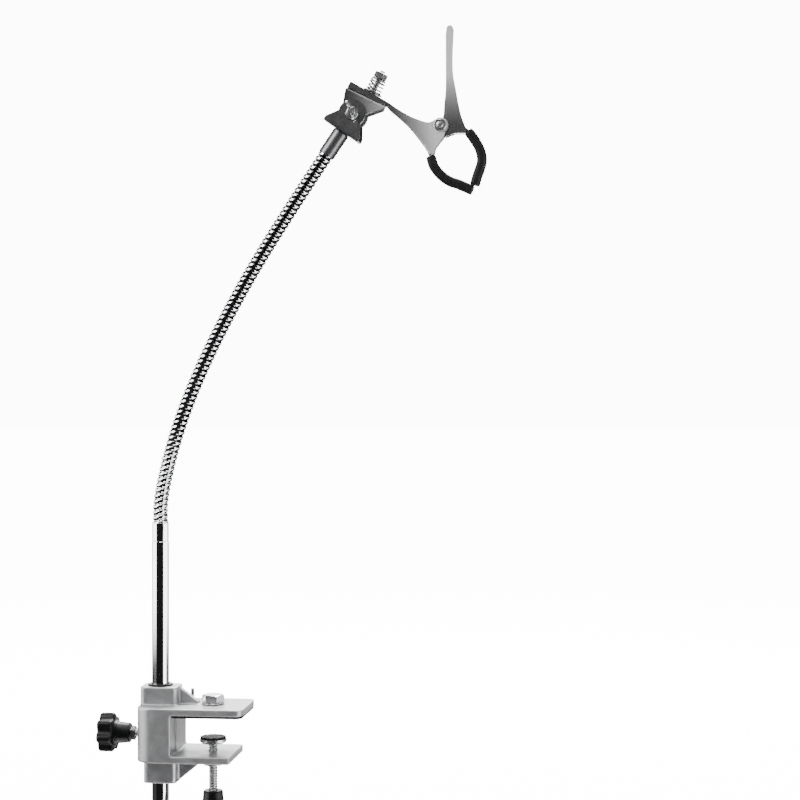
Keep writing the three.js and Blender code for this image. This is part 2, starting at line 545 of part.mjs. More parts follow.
function movingProfile(inset) {
  const shape = new THREE.Shape();
  const side = moved(MOVING_WEB, -inset * 0.75, -inset * 0.66);
  if (inset) {
    shape.moveTo(-60, side[0].y);
    shape.lineTo(side[0].x, side[0].y);
    shape.splineThru(side.slice(1, 5));
    shape.lineTo(20, 11.5);
    shape.lineTo(14, -16);
    shape.lineTo(-60, -16);
    return shape;
  }
  shape.moveTo(side[0].x, side[0].y);
  shape.splineThru(side.slice(1));
  shape.lineTo(28.3, 6);
  shape.splineThru(moved(MOVING_RING_EDGE, 0, 0));
  shape.absarc(0, 0, EAR_RADIUS, -0.28 * Math.PI, -1.42 * Math.PI, true);
  shape.splineThru(moved(MOVING_INNER_EDGE, 0, 0));
  shape.absarc(HANDLE_TIP.x, HANDLE_TIP.y, HANDLE_TIP.radius, -0.86 * Math.PI, 0.17 * Math.PI, true);
  return shape;
}

// Part of a jaw's line, as a tube with rounded edges.
function jawTube(route, start, end, { width, thickness, radius }, grow = 0) {
  const points = routeOf(route).getSpacedPoints(JAW_STEPS).slice(start, end + 1);
  const section = roundedRectangle(-width / 2 - grow, width / 2 + grow, thickness / 2 + grow, radius + grow);
  return swept(section, new THREE.CatmullRomCurve3(points), 9);
}

// A pressed half: a channel with its web along one edge, and a tongue that reaches into the jaw.
function clipHalf(profile, halfWidth, route) {
  const channel = plateAcross(profile(0), halfWidth, 3);
  const space = plateAcross(profile(CLIP_SHEET), halfWidth - CLIP_SHEET, 3);
  const tongue = jawTube(route, 0, TONGUE_END, TONGUE);
  const rivetHole = crossCylinder(RIVET_RADIUS + GAP, -20, 20, 16);
  return cut(join(cut(channel, space), tongue), rivetHole);
}

const jawSleeve = (route) =>
  cut(jawTube(route, SLEEVE_START, JAW_STEPS, SLEEVE), jawTube(route, 0, SLEEVE_BORE_END, TONGUE, GAP));

function addClip(rivet) {
  const swivelHole = cylinder(SWIVEL_BOLT_RADIUS + GAP, -40, 0, 16)
    .translate(SWIVEL_U - RIVET_U, 0, 0)
    .rotateY(-CLIP_TURN);
  const fixed = cut(clipHalf(fixedProfile, FIXED_HALF_WIDTH, FIXED_JAW), swivelHole);
  add(rivet, 'clip_fixed_half', fixed, BRIGHT_STEEL);
  add(rivet, 'clip_moving_half', clipHalf(movingProfile, MOVING_HALF_WIDTH, MOVING_JAW), BRIGHT_STEEL);

  const inside = FIXED_HALF_WIDTH + GAP;
  const outside = inside + RIVET_HEAD.height;
  const rivetSolid = join(crossCylinder(RIVET_RADIUS, -inside - 1, inside + 1, 16),
    crossCylinder(RIVET_HEAD.radius, inside, outside), crossCylinder(RIVET_HEAD.radius, -outside, -inside));
  add(rivet, 'clip_rivet', rivetSolid, BRIGHT_STEEL);

  add(rivet, 'fixed_jaw_sleeve', jawSleeve(FIXED_JAW), BLACK_RUBBER);
  const clear = jawTube(FIXED_JAW, SLEEVE_START, JAW_STEPS, SLEEVE, GAP);
  add(rivet, 'moving_jaw_sleeve', cut(jawSleeve(MOVING_JAW), clear), BLACK_RUBBER);
  add(rivet, 'clip_spring', torsionSpring(), DARK_NICKEL);
}

// A coil round the rivet with one leg along each handle.
function torsionSpring() {
  const coilRadius = 5.2;
  const wire = 1.4;
  const turns = 2.27;
  const halfCoil = 2.4;
  const start = THREE.MathUtils.degToRad(280.5);
  const fixedLeg = [[-43, -11.5], [-22.5, -9.8]];
  const movingLeg = [[-1, 19.6], [-6.8, 38.5]];
  const points = fixedLeg.map(([x, z]) => new THREE.Vector3(x, -halfCoil, z));
  const steps = 30;
  for (let i = 0; i <= steps; i++) {
    const angle = start + (2 * Math.PI * turns * i) / steps;
    const y = -halfCoil + (2 * halfCoil * i) / steps;
    points.push(new THREE.Vector3(coilRadius * Math.cos(angle), y, coilRadius * Math.sin(angle)));
  }
  points.push(...movingLeg.map(([x, z]) => new THREE.Vector3(x, halfCoil, z)));
  const section = new THREE.Shape();
  section.absarc(0, 0, wire / 2, 0, 2 * Math.PI);
  const settings = { extrudePath: new THREE.CatmullRomCurve3(points), steps: 44, curveSegments: 3 };
  return new THREE.ExtrudeGeometry(section, settings);
}

addClamp();
addLockScrew();
addTableScrew();
addPole();
addHead(addNeck());

export default assembly;
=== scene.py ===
"""Looks of a clamp-on flexible holder arm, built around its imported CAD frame.

Shapes are modelled in millimetres in the frame of the part that they belong to, then placed in
the row frame, which is in metres.
"""
import json
import math

import bmesh
import bpy
from mathutils import Matrix, Vector


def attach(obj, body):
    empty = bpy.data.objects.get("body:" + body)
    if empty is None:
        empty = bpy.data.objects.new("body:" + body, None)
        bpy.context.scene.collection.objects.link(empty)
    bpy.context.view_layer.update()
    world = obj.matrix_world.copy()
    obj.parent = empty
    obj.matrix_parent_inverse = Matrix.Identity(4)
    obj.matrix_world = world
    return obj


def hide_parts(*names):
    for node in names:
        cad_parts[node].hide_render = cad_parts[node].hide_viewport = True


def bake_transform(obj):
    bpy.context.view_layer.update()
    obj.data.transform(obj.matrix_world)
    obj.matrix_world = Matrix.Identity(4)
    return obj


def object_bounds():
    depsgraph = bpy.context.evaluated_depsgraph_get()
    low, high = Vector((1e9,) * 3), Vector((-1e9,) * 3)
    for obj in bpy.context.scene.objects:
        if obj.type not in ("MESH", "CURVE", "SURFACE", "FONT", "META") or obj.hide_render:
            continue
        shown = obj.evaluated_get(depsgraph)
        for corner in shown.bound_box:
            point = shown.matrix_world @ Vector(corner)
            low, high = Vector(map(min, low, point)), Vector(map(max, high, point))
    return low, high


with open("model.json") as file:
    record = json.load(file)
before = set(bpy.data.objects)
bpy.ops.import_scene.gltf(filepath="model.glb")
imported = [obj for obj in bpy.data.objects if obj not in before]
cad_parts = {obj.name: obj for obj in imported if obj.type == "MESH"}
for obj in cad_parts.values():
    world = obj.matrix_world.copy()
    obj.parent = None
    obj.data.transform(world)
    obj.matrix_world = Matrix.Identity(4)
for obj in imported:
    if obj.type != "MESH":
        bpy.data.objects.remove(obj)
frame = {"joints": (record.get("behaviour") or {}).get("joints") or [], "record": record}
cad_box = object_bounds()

MM = 0.001
TAU = 2 * math.pi

# ---------- places, from the frame ----------
RECORD = frame["record"]
JOINTS = {joint["name"]: joint for joint in frame["joints"]}
BODY_OF = {node: body for body, nodes in RECORD["behaviour"]["bodies"].items() for node in nodes}
SLOT_OF = {row["node"]: row["material_slot"] for row in RECORD["subparts"]}
X_AXIS, Y_AXIS, Z_AXIS = Vector((1, 0, 0)), Vector((0, 1, 0)), Vector((0, 0, 1))


def at(x, y, z):
    return Matrix.Translation((x, y, z))


def turned(degrees, axis):
    return Matrix.Rotation(math.radians(degrees), 4, axis)


def local_frame(origin, x, z):
    """A matrix from millimetres in a local frame to metres in the row frame."""
    x, z = Vector(x), Vector(z)
    turn = Matrix((x, z.cross(x), z)).transposed().to_4x4()
    return at(*origin) @ turn @ Matrix.Scale(MM, 4)


TILT_POINT = Vector(JOINTS["head_tilt"]["pos_m"])
LAST_NECK_HINGE = Vector(JOINTS["neck_sway_4"]["pos_m"])
HEAD_UP = (TILT_POINT - LAST_NECK_HINGE).normalized()
HEAD_ALONG = Y_AXIS.cross(HEAD_UP)
UPPER_UP = Vector(JOINTS["clip_swivel"]["axis"]).normalized()
UPPER_ALONG = Y_AXIS.cross(UPPER_UP)
CLIP_LEAN = math.radians(30)
CLIP_UP = Vector((math.sin(CLIP_LEAN), 0, math.cos(CLIP_LEAN)))
CLIP_ALONG = Y_AXIS.cross(CLIP_UP)
POLE = local_frame((JOINTS["pole_pan"]["pos_m"][0], 0, 0), X_AXIS, Z_AXIS)
LOCK_Z = JOINTS["lock_knob_turn"]["pos_m"][2]
LOCK = local_frame((JOINTS["pole_pan"]["pos_m"][0], 0, LOCK_Z), Z_AXIS, -X_AXIS)
TABLE_SCREW = local_frame((0, 0, 0), X_AXIS, Z_AXIS)
HEAD = local_frame(TILT_POINT, HEAD_ALONG, HEAD_UP)
TILTED = local_frame(TILT_POINT, UPPER_ALONG, UPPER_UP)
SWIVEL = local_frame(JOINTS["clip_swivel"]["pos_m"], UPPER_ALONG, UPPER_UP)
RIVET = local_frame(JOINTS["clip_open"]["pos_m"], CLIP_ALONG, CLIP_UP)
SWIVEL_ALONG = (SWIVEL.translation - TILTED.translation).dot(UPPER_ALONG) / MM

# ---------- sizes, in millimetres, as on the CAD part ----------
GAP = 0.3
PLATE_END, PLATE_HALF_WIDTH, PLATE_TOP, PLATE_CORNER = 100, 40, 10, 18
SPINE_OUTER, SPINE_INNER = -20, 20
LOWER_ARM_TOP, LOWER_ARM_BOTTOM, LOWER_ARM_END = -42, -50, 86
UPPER_BOSS_TOP, LOWER_BOSS_BOTTOM = 30, -77
UPPER_BUSH_BOTTOM, LOWER_BUSH_TOP, BUSH_OUTER, BUSH_BORE = 5, -56, 11.5, 9.8
SCREW_X = 60
STUD_X, STUD_Y, STUD_TOP, STUD_RADIUS = 31, 24, 23, 2
POLE_RADIUS, POLE_WALL, POLE_BOTTOM, POLE_TOP = 9.5, 1.5, -137, 191
NECK_START, NECK_RADIUS, NECK_PITCH, NECK_GROOVE = 212, 8.5, 6.06, 1.6
LOCK_SCREW_RADIUS, LOCK_PAD_THICKNESS, JAM_NUT_START, LOCK_KNOB_START = 4, 3, 28, 34
TABLE_SCREW_RADIUS, TABLE_SCREW_PITCH, TABLE_KNOB_TOP = 5, 3, -86
FOOT_TOP, FOOT_RUBBER_BOTTOM, FOOT_DISC_BOTTOM, FOOT_SOCKET_DEPTH = -26, -28, -33.3, 2.5
KNOB_RADIUS, KNOB_VALLEY, KNOB_LOBES, KNOB_THICKNESS = 22, 17.5, 7, 18
HUB_RADIUS, HUB_LENGTH = 12, 17
FERRULE_RADIUS, FERRULE_LENGTH, SOCKET_DEPTH = 9.4, 30.6, 8
SHEET, BRACKET_HALF_LENGTH, BRACKET_HEIGHT, BRACKET_EYE = 2, 23, 23, 15
BRACKET_HALF_WIDTH, UPPER_SHIFT = 13, 4.5
BOLT_RADIUS, BOLT_HOLE = 3, 3.3
WING_NUT_TURN = 147  # in degrees
CLIP_SHEET, FIXED_HALF_WIDTH, MOVING_HALF_WIDTH = 1.5, 8, 6.2
EAR_RADIUS, RIVET_HOLE = 8.5, 3.3
BAR_END, BAR_END_BOTTOM, BAR_STRAIGHT_TO, BAR_BOTTOM, BAR_TOP = -111, -14, -62, -11.01, -6.2
SLEEVE_WIDTH, SLEEVE_THICKNESS = 15, 11
SLEEVE_START = 7 / 60  # of the jaw's length


# ---------- outlines ----------
def arc(x, y, radius, start, end, steps=12):
    """Points of an arc, its angles in degrees."""
    angles = [math.radians(start + (end - start) * i / steps) for i in range(steps + 1)]
    return [(x + radius * math.cos(a), y + radius * math.sin(a)) for a in angles]


def rounded_rectangle(x0, x1, half_width, left_radius, right_radius=None, steps=8):
    """A rectangle with its own corner radius at each end of x."""
    right_radius = left_radius if right_radius is None else right_radius
    right, left = x1 - right_radius, x0 + left_radius
    return (
        arc(right, right_radius - half_width, right_radius, -90, 0, steps)
        + arc(right, half_width - right_radius, right_radius, 0, 90, steps)
        + arc(left, half_width - left_radius, left_radius, 90, 180, steps)
        + arc(left, left_radius - half_width, left_radius, 180, 270, steps)
    )


def smooth_line(points, steps):
    """A Catmull-Rom line through points of any dimension."""
    rows = [Vector(p) for p in points]
    rows = [2 * rows[0] - rows[1]] + rows + [2 * rows[-1] - rows[-2]]
    line = []
    for a, b, c, d in zip(rows, rows[1:], rows[2:], rows[3:]):
        for i in range(steps):
            t = i / steps
            line.append(0.5 * (2 * b + (c - a) * t + (2 * a - 5 * b + 4 * c - d) * t * t
                               + (3 * b - a - 3 * c + d) * t ** 3))
    line.append(rows[-2])
    return line


# ---------- meshes ----------
def object_from(bm, name):
    bmesh.ops.recalc_face_normals(bm, faces=bm.faces)
    mesh = bpy.data.meshes.new(name)
    bm.to_mesh(mesh)
    bm.free()
    obj = bpy.data.objects.new(name, mesh)
    bpy.context.scene.collection.objects.link(obj)
    return obj


def solid_from_rings(name, rings, closed_lengthwise=False):
    """A closed solid through rings that have the same number of points."""
    bm = bmesh.new()
    rows = [[bm.verts.new(p) for p in ring] for ring in rings]
    count = len(rows[0])
    pairs = list(zip(rows, rows[1:]))
    if closed_lengthwise:
        pairs.append((rows[-1], rows[0]))
    for low, high in pairs:
        for i in range(count):
            j = (i + 1) % count
            bm.faces.new((low[i], low[j], high[j], high[i]))
    if not closed_lengthwise:
        bm.faces.new(list(reversed(rows[0])))
        bm.faces.new(rows[-1])
    return object_from(bm, name)


def revolve(name, profile, sides, ring=False):
    """A solid turned about z from (radius, z) points; a ring's profile closes on itself."""
    smallest = 1e-4
    angles = [TAU * i / sides for i in range(sides)]
    rings = []
    for radius, z in profile:
        radius = max(radius, smallest)
        rings.append([Vector((radius * math.cos(a), radius * math.sin(a), z)) for a in angles])
    obj = solid_from_rings(name, rings, closed_lengthwise=ring)
    bm = bmesh.new()
    bm.from_mesh(obj.data)
    bmesh.ops.remove_doubles(bm, verts=bm.verts, dist=2 * smallest)
    bm.to_mesh(obj.data)
    bm.free()
    return obj


def prism(name, outline, low, high, across=False):
    """An outline made thick along z, or along y if it lies in the x-z plane."""
    def ring(t):
        return [Vector((p[0], t, p[1])) if across else Vector((p[0], p[1], t)) for p in outline]
    return solid_from_rings(name, [ring(low), ring(high)])


def rod(name, radius, low, high, sides=64, chamfer=0.4):
    profile = [(0, low), (radius - chamfer, low), (radius, low + chamfer),
               (radius, high - chamfer), (radius - chamfer, high), (0, high)]
    return revolve(name, profile, sides)


def cross_rod(name, radius, low, high):
    """A rod along y."""
    return moved(rod(name, radius, low, high, 48, chamfer=0.01), turned(-90, "X"))


def ring_profile(inner, outer, low, high, chamfer):
    return [(inner + chamfer, low), (outer - chamfer, low),
            (outer, low + chamfer), (outer, high - chamfer),
            (outer - chamfer, high), (inner + chamfer, high),
            (inner, high - chamfer), (inner, low + chamfer)]


def washer(name, inner, outer, low, high, chamfer=0.25):
    return revolve(name, ring_profile(inner, outer, low, high, chamfer), 64, ring=True)


def threaded_rod(name, radius, pitch, low, high, sides=36):
    """A rod with a real screw thread, tapered off at both ends."""
    depth = 0.33 * pitch
    rows_per_pitch = 8
    rows = int((high - low) / pitch * rows_per_pitch)
    rings = []
    for row in range(rows + 1):
        z = low + (high - low) * row / rows
        fade = min(1, (z - low) / pitch, (high - z) / pitch)
        ring = []
        for i in range(sides):
            angle = TAU * i / sides
            phase = (z / pitch - i / sides) % 1
            crest = 1 - abs(2 * phase - 1)
            r = radius - depth + depth * min(1, 1.25 * crest) * fade
            ring.append(Vector((r * math.cos(angle), r * math.sin(angle), z)))
        rings.append(ring)
    return solid_from_rings(name, rings)


def hexagon(name, across_flats, low, high, bore=0, dome_top=True, dome_bottom=False):
    """A hexagon head or nut with its corners chamfered round."""
    corner, flat = across_flats / math.sqrt(3), across_flats / 2
    angles = [TAU * i / 6 for i in range(6)]
    body = prism(name, [(corner * math.cos(a), corner * math.sin(a)) for a in angles], low, high)
    drop = 0.5 * (corner - flat) + 0.85
    top = [(corner + 1, high + 1), (0, high + 1)]
    if dome_top:
        top = [(corner + 1, high - drop), (flat - 0.4, high), (0, high)]
    bottom = [(0, low - 1), (corner + 1, low - 1)]
    if dome_bottom:
        bottom = [(0, low), (flat - 0.4, low), (corner + 1, low + drop)]
    shaper = revolve(name + "_shaper", bottom + top, 64)
    combine(body, [shaper], "INTERSECT")
    if bore:
        combine(body, [rod(name + "_bore", bore, low - 2, high + 2, 48)])
    return body


def apply_modifiers(obj):
    evaluated = obj.evaluated_get(bpy.context.evaluated_depsgraph_get())
    mesh = bpy.data.meshes.new_from_object(evaluated)
    old = obj.data
    obj.modifiers.clear()
    obj.data = mesh
    bpy.data.meshes.remove(old)


def combine(obj, others, operation="DIFFERENCE"):
    """Cuts obj by others, joins them to it or intersects it with them, and uses them up."""
    for other in others:
        modifier = obj.modifiers.new("combine", "BOOLEAN")
        modifier.object, modifier.operation, modifier.solver = other, operation, "MANIFOLD"
    apply_modifiers(obj)
    for other in others:
        bpy.data.objects.remove(other)


def moved(obj, matrix):
    obj.data.transform(matrix)
    return obj


def softened(obj, voxel, rounds):
    """Melts overlapping solids in one object into a skin with rounded edges and fillets."""
    melt = obj.modifiers.new("melt", "REMESH")
    melt.mode, melt.voxel_size = "VOXEL", voxel
    smooth = obj.modifiers.new("round", "SMOOTH")
    smooth.factor, smooth.iterations = 0.5, rounds
    apply_modifiers(obj)
    return obj


def heap(name, parts):
    """Puts several solids in one object without joining them."""
    bm = bmesh.new()
    for part in parts:
        bm.from_mesh(part.data)
        bpy.data.objects.remove(part)
    return object_from(bm, name)


def bevelled(obj, width, segments, angle=35):
    bevel = obj.modifiers.new("bevel", "BEVEL")
    bevel.width, bevel.segments = width, segments
    bevel.limit_method, bevel.angle_limit = "ANGLE", math.radians(angle)
    bevel.miter_outer = "MITER_ARC"
    apply_modifiers(obj)
    return obj


def shaded_smooth(obj, angle, weighted):
    bm = bmesh.new()
    bm.from_mesh(obj.data)
    limit = math.radians(angle)
    for face in bm.faces:
        face.smooth = True
    for edge in bm.edges:
        sharp = len(edge.link_faces) == 2 and edge.calc_face_angle(0) > limit
        edge.smooth = not sharp
    bm.to_mesh(obj.data)
    bm.free()
    if weighted:
        normals = obj.modifiers.new("normals", "WEIGHTED_NORMAL")
        normals.keep_sharp = True


def direction_at(line, i):
    """The direction of a line of points at one of them."""
    return (line[min(i + 1, len(line) - 1)] - line[max(i - 1, 0)]).normalized()


def sweep(name, section, line):
    """A section of (across, outward) points along a line that lies in the x-z plane."""
    rings = []
    for i, point in enumerate(line):
        outward = direction_at(line, i).cross(Y_AXIS)
        rings.append([point + Y_AXIS * a + outward * b for a, b in section])
    return solid_from_rings(name, rings)


def tube_along(name, line, radius, sides):
    """A round wire along a line in space."""
    rings = []
    angles = [TAU * i / sides for i in range(sides)]
    normal = direction_at(line, 0).orthogonal().normalized()
    for i, point in enumerate(line):
        tangent = direction_at(line, i)
        normal = (normal - tangent * normal.dot(tangent)).normalized()
        side = tangent.cross(normal)
        rings.append([point + radius * (math.cos(a) * normal + math.sin(a) * side) for a in angles])
    return solid_from_rings(name, rings)


# ---------- materials ----------
def set_inputs(node, **values):
    """Sets a node's sockets by name, with _ for a space."""
    for key, value in values.items():
        node.inputs[key.replace("_", " ")].default_value = value
    return node


class Shader:
    """A small helper that builds one procedural material around a Principled shader."""

    def __init__(self, name, color, metallic, roughness, **others):
        self.material = bpy.data.materials.new(name)
        self.material.use_nodes = True
        self.tree = self.material.node_tree
        self.shader = self.tree.nodes["Principled BSDF"]
        set_inputs(self.shader, Base_Color=(*color, 1), Metallic=metallic, Roughness=roughness, **others)
        self.place = self.node("TexCoord").outputs["Object"]
        self.bump = None

    def node(self, kind, **inputs):
        return set_inputs(self.tree.nodes.new("ShaderNode" + kind), **inputs)

    def link(self, output, target):
        self.tree.links.new(output, target)

    def noise(self, size_mm, detail, stretch=(1, 1, 1)):
        """Noise whose features are about size_mm wide, longer where stretch is under 1."""
        mapping = self.node("Mapping", Scale=stretch)
        self.link(self.place, mapping.inputs["Vector"])
        noise = self.node("TexNoise", Scale=1000 / size_mm, Detail=detail, Roughness=0.6)
        self.link(mapping.outputs["Vector"], noise.inputs["Vector"])
        return noise.outputs["Fac"]

    def spread(self, value, low, high, from_low, from_high):
        """A value brought from one range to another."""
        node = self.node("MapRange", From_Min=from_low, From_Max=from_high, To_Min=low, To_Max=high)
        self.link(value, node.inputs["Value"])
        return node.outputs["Result"]

    def share_along(self, start, end):
        """0 in the plane through start and 1 in the plane through end, across the line between them."""
        across = (end - start) / (end - start).length_squared
        dot = self.node("VectorMath")
        dot.operation = "DOT_PRODUCT"
        self.link(self.place, dot.inputs[0])
        dot.inputs[1].default_value = across
        return self.spread(dot.outputs["Value"], 0, 1, start.dot(across), end.dot(across))

    def vary_roughness(self, value, low, high, from_low=0.3, from_high=0.7):
        self.link(self.spread(value, low, high, from_low, from_high), self.shader.inputs["Roughness"])

    def vary_color(self, value, dark, light, from_low=0.3, from_high=0.7):
        ramp = self.node("ValToRGB")
        ends = zip(ramp.color_ramp.elements, (from_low, from_high), (dark, light))
        for element, position, color in ends:
            element.position, element.color = position, (*color, 1)
        self.link(value, ramp.inputs["Fac"])
        self.link(ramp.outputs["Color"], self.shader.inputs["Base Color"])

    def add_bump(self, value, height_mm, strength):
        bump = self.node("Bump", Strength=strength, Distance=height_mm * MM)
        self.link(value, bump.inputs["Height"])
        if self.bump:
            self.link(self.bump.outputs["Normal"], bump.inputs["Normal"])
        self.link(bump.outputs["Normal"], self.shader.inputs["Normal"])
        self.bump = bump

    def lighter_edges(self, dark, light):
        """Colour that lightens along outer edges."""
        edge = self.node("NewGeometry").outputs["Pointiness"]
        self.vary_color(edge, dark, light, 0.5, 0.56)


def cast_aluminium():
    s = Shader("cast_aluminium", (0.5, 0.505, 0.515), 0.8, 0.42)
    # the casting's colour lightens along its outer edges
    s.lighter_edges((0.42, 0.425, 0.435), (0.62, 0.62, 0.63))
    s.vary_roughness(s.noise(7, 5), 0.34, 0.5)
    s.add_bump(s.noise(3, 6), 0.16, 0.6)
    s.add_bump(s.noise(0.7, 3), 0.03, 0.5)
    return s.material


def chrome():
    s = Shader("chrome", (0.93, 0.935, 0.94), 1.0, 0.05)
    s.vary_roughness(s.noise(14, 5, (1, 1, 0.25)), 0.03, 0.08)
    return s.material


def wound_chrome():
    """Chrome with painted shade: its colour is dark in the grooves of the winding, where little light gets
    in.
    """
    s = Shader("wound_chrome", (0.93, 0.935, 0.94), 1.0, 0.06)
    painted_groove_light = s.node("Attribute")
    painted_groove_light.attribute_name = "painted_groove_light"
    # base colour darkened by the painted groove shade, which is carried in a mesh attribute
    s.vary_color(painted_groove_light.outputs["Fac"], (0.02, 0.02, 0.021), (0.93, 0.935, 0.94), 0.42, 0.56)
    return s.material


def dark_nickel():
    s = Shader("dark_nickel", (0.15, 0.151, 0.155), 0.85, 0.35)
    s.vary_color(s.noise(9, 5), (0.13, 0.131, 0.135), (0.18, 0.181, 0.186))
    s.vary_roughness(s.noise(2.5, 4, (1, 1, 0.2)), 0.3, 0.42)
    return s.material


def bright_steel():
    s = Shader("bright_steel", (0.62, 0.625, 0.635), 0.92, 0.27)
    s.vary_color(s.noise(14, 3), (0.58, 0.585, 0.595), (0.66, 0.662, 0.67))
    s.vary_roughness(s.noise(8, 4), 0.22, 0.32)
    return s.material


def steel_with_painted_reflection(name, place, start, end, dark, light):
    """Pressed sheet with a painted reflection: its colour runs from dark at the start to bright at the end,
    and it is smooth at the start and matt at the end.
    """
    s = Shader(name, (0.6, 0.605, 0.615), 0.9, 0.3)
    share = s.share_along(place @ Vector(start), place @ Vector(end))
    # painted reflection: the colour goes from dark to bright along the piece
    s.vary_color(share, (dark, dark, dark * 1.03), (light, light, light * 1.01), 0, 1)
    s.vary_roughness(share, 0.26, 0.5, 0, 1)
    return s.material


def black_rubber():
    s = Shader("black_rubber", (0.006, 0.006, 0.0065), 0.0, 0.6, Specular_IOR_Level=0.2)
    s.vary_color(s.noise(5, 4), (0.004, 0.004, 0.0045), (0.009, 0.009, 0.0095))
    s.vary_roughness(s.noise(3, 4), 0.45, 0.65)
    s.add_bump(s.noise(0.8, 4), 0.04, 0.5)
    return s.material


def black_plastic():
    s = Shader("black_plastic", (0.004, 0.004, 0.0045), 0.0, 0.36, Specular_IOR_Level=0.25)
    s.vary_roughness(s.noise(2, 5), 0.28, 0.44)
    s.add_bump(s.noise(0.6, 3), 0.012, 0.4)
    return s.material


FINISHES = [cast_aluminium, chrome, wound_chrome, dark_nickel, bright_steel, black_rubber, black_plastic]
MATERIALS = {finish.__name__: finish() for finish in FINISHES}
# the clip halves and the upper bracket get a painted reflection, a colour gradient from dark to bright across
# each piece
MATERIALS.update(
    fixed_half=steel_with_painted_reflection("fixed_half_painted_reflection", RIVET, (-52, 0, -20), (-18, 0, 8), 0.3, 0.95),
    moving_half=steel_with_painted_reflection("moving_half_painted_reflection", RIVET, (10, 0, 6), (-16, 0, 56), 0.34, 0.95),
    upper_bracket=steel_with_painted_reflection("bracket_sheet_painted_reflection", TILTED, (-16, 0, 14), (26, 0, 24), 0.2, 0.5),
)


# ---------- putting pieces on the frame ----------
def dress(obj, slot, angle, weighted, look=None):
    shaded_smooth(obj, angle, weighted)
    obj.data.materials.clear()
    obj.data.materials.append(MATERIALS[look or slot])


def stand_in(obj, node, place, angle=35, weighted=True, look=None):
    """Places a finished piece, which takes the place and the slot of a CAD node."""
    obj.name = node + "_visible"
    moved(obj, place)
    dress(obj, SLOT_OF[node], angle, weighted, look)
    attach(obj, BODY_OF[node])
    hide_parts(node)


# ---------- clamp ----------
def make_casting():
    corner_x, corner_y = SPINE_OUTER + PLATE_CORNER, PLATE_HALF_WIDTH - PLATE_CORNER
    spine = arc(corner_x, corner_y, PLATE_CORNER, 90, 180)
    spine += arc(corner_x, -corner_y, PLATE_CORNER, 180, 270)
    spine += [(SPINE_INNER, -PLATE_HALF_WIDTH), (SPINE_INNER, PLATE_HALF_WIDTH)]
    upper = rounded_rectangle(SPINE_OUTER, PLATE_END, PLATE_HALF_WIDTH, PLATE_CORNER, 8)
    lower = rounded_rectangle(SPINE_OUTER, LOWER_ARM_END, PLATE_HALF_WIDTH, PLATE_CORNER, 1)
    upper_rib = [(10, 8), (45.5, 8), (44, 13), (22, 29), (10, 29)]
    lower_rib = [(10, -76), (21, -76), (48, -54), (50, -49), (10, -49)]
    at_screw = at(SCREW_X, 0, 0)
    casting = heap("casting", [
        prism("plate", upper, 2 + GAP, PLATE_TOP),
        prism("spine", spine, LOWER_ARM_BOTTOM, PLATE_TOP),
        prism("arm", lower, LOWER_ARM_BOTTOM, LOWER_ARM_TOP),
        prism("upper_boss", rounded_rectangle(-20, 22, 17, 6), 0, UPPER_BOSS_TOP),
        prism("lower_boss", rounded_rectangle(-16, 21, 17, 5), LOWER_BOSS_BOTTOM, 0),
        prism("upper_rib", upper_rib, -4, 4, across=True),
        prism("lower_rib", lower_rib, -4, 4, across=True),
        moved(rod("screw_boss", 11, LOWER_ARM_BOTTOM - 8, LOWER_ARM_BOTTOM + 2), at_screw),
    ])
    softened(casting, 0.9, 6)
    screw_bore = TABLE_SCREW_RADIUS + GAP
    to_lock = at(0, 0, LOCK_Z / MM) @ turned(-90, "Y")
    combine(casting, [
        rod("pole_bore", POLE_RADIUS + 0.8, -90, 40),
        rod("upper_seat", BUSH_OUTER + GAP, UPPER_BUSH_BOTTOM, 40),
        rod("lower_seat", BUSH_OUTER + GAP, -90, LOWER_BUSH_TOP),
        moved(rod("lock_bore", LOCK_SCREW_RADIUS + 0.4, 0, 30), to_lock),
        moved(rod("screw_bore", screw_bore, -62, -40), at_screw),
        moved(rod("bolt_bore", screw_bore, 0, 14), at_screw),
        moved(rod("stud_bore", STUD_RADIUS + GAP, 4, 14), at(STUD_X, STUD_Y, 0)),
    ])
    stand_in(casting, "clamp_casting", POLE, angle=50)


def make_clamp_details():
    pad_outline = rounded_rectangle(SPINE_INNER + 1, PLATE_END - 0.5, PLATE_HALF_WIDTH - 0.5, 3, 7.5)
    pad = bevelled(prism("pad", pad_outline, 0, 2), 0.5, 3)
    stand_in(pad, "jaw_pad", POLE)
    bolt_place = POLE @ at(SCREW_X, 0, PLATE_TOP)
    washer_hole = TABLE_SCREW_RADIUS + GAP
    stand_in(washer("w", washer_hole, 13, GAP, 1.9, 0.5), "pad_bolt_washer", bolt_place)
    bolt = hexagon("bolt", 22, 2.2, 10.7)
    combine(bolt, [rod("shank", 5, -7, 3)], "UNION")
    stand_in(bevelled(bolt, 0.35, 2, 28), "pad_bolt", bolt_place)
    stud = threaded_rod("stud", STUD_RADIUS, 0.8, 4 + GAP, STUD_TOP, 24)
    stand_in(stud, "rib_stud", POLE @ at(STUD_X, STUD_Y, 0))
    bush = washer("b", BUSH_BORE, BUSH_OUTER, LOWER_BOSS_BOTTOM, LOWER_BUSH_TOP - GAP, 0.4)
    stand_in(bush, "lower_bush", POLE)


def knob_ring(shrink, z, lobed=1.0):
    """One level of the star knob: its lobed outline moved in by shrink."""
    middle, swing = (KNOB_RADIUS + KNOB_VALLEY) / 2, (KNOB_RADIUS - KNOB_VALLEY) / 2
    points_per_lobe, fullness = 18, 0.75
    count = KNOB_LOBES * points_per_lobe
    ring = []
    for i in range(count):
        angle = TAU * i / count
        wave = math.cos(KNOB_LOBES * angle)
        wave = math.copysign(abs(wave) ** fullness, wave)
        radius = middle + swing * wave * lobed - shrink
        ring.append(Vector((radius * math.cos(angle), radius * math.sin(angle), z)))
    return ring


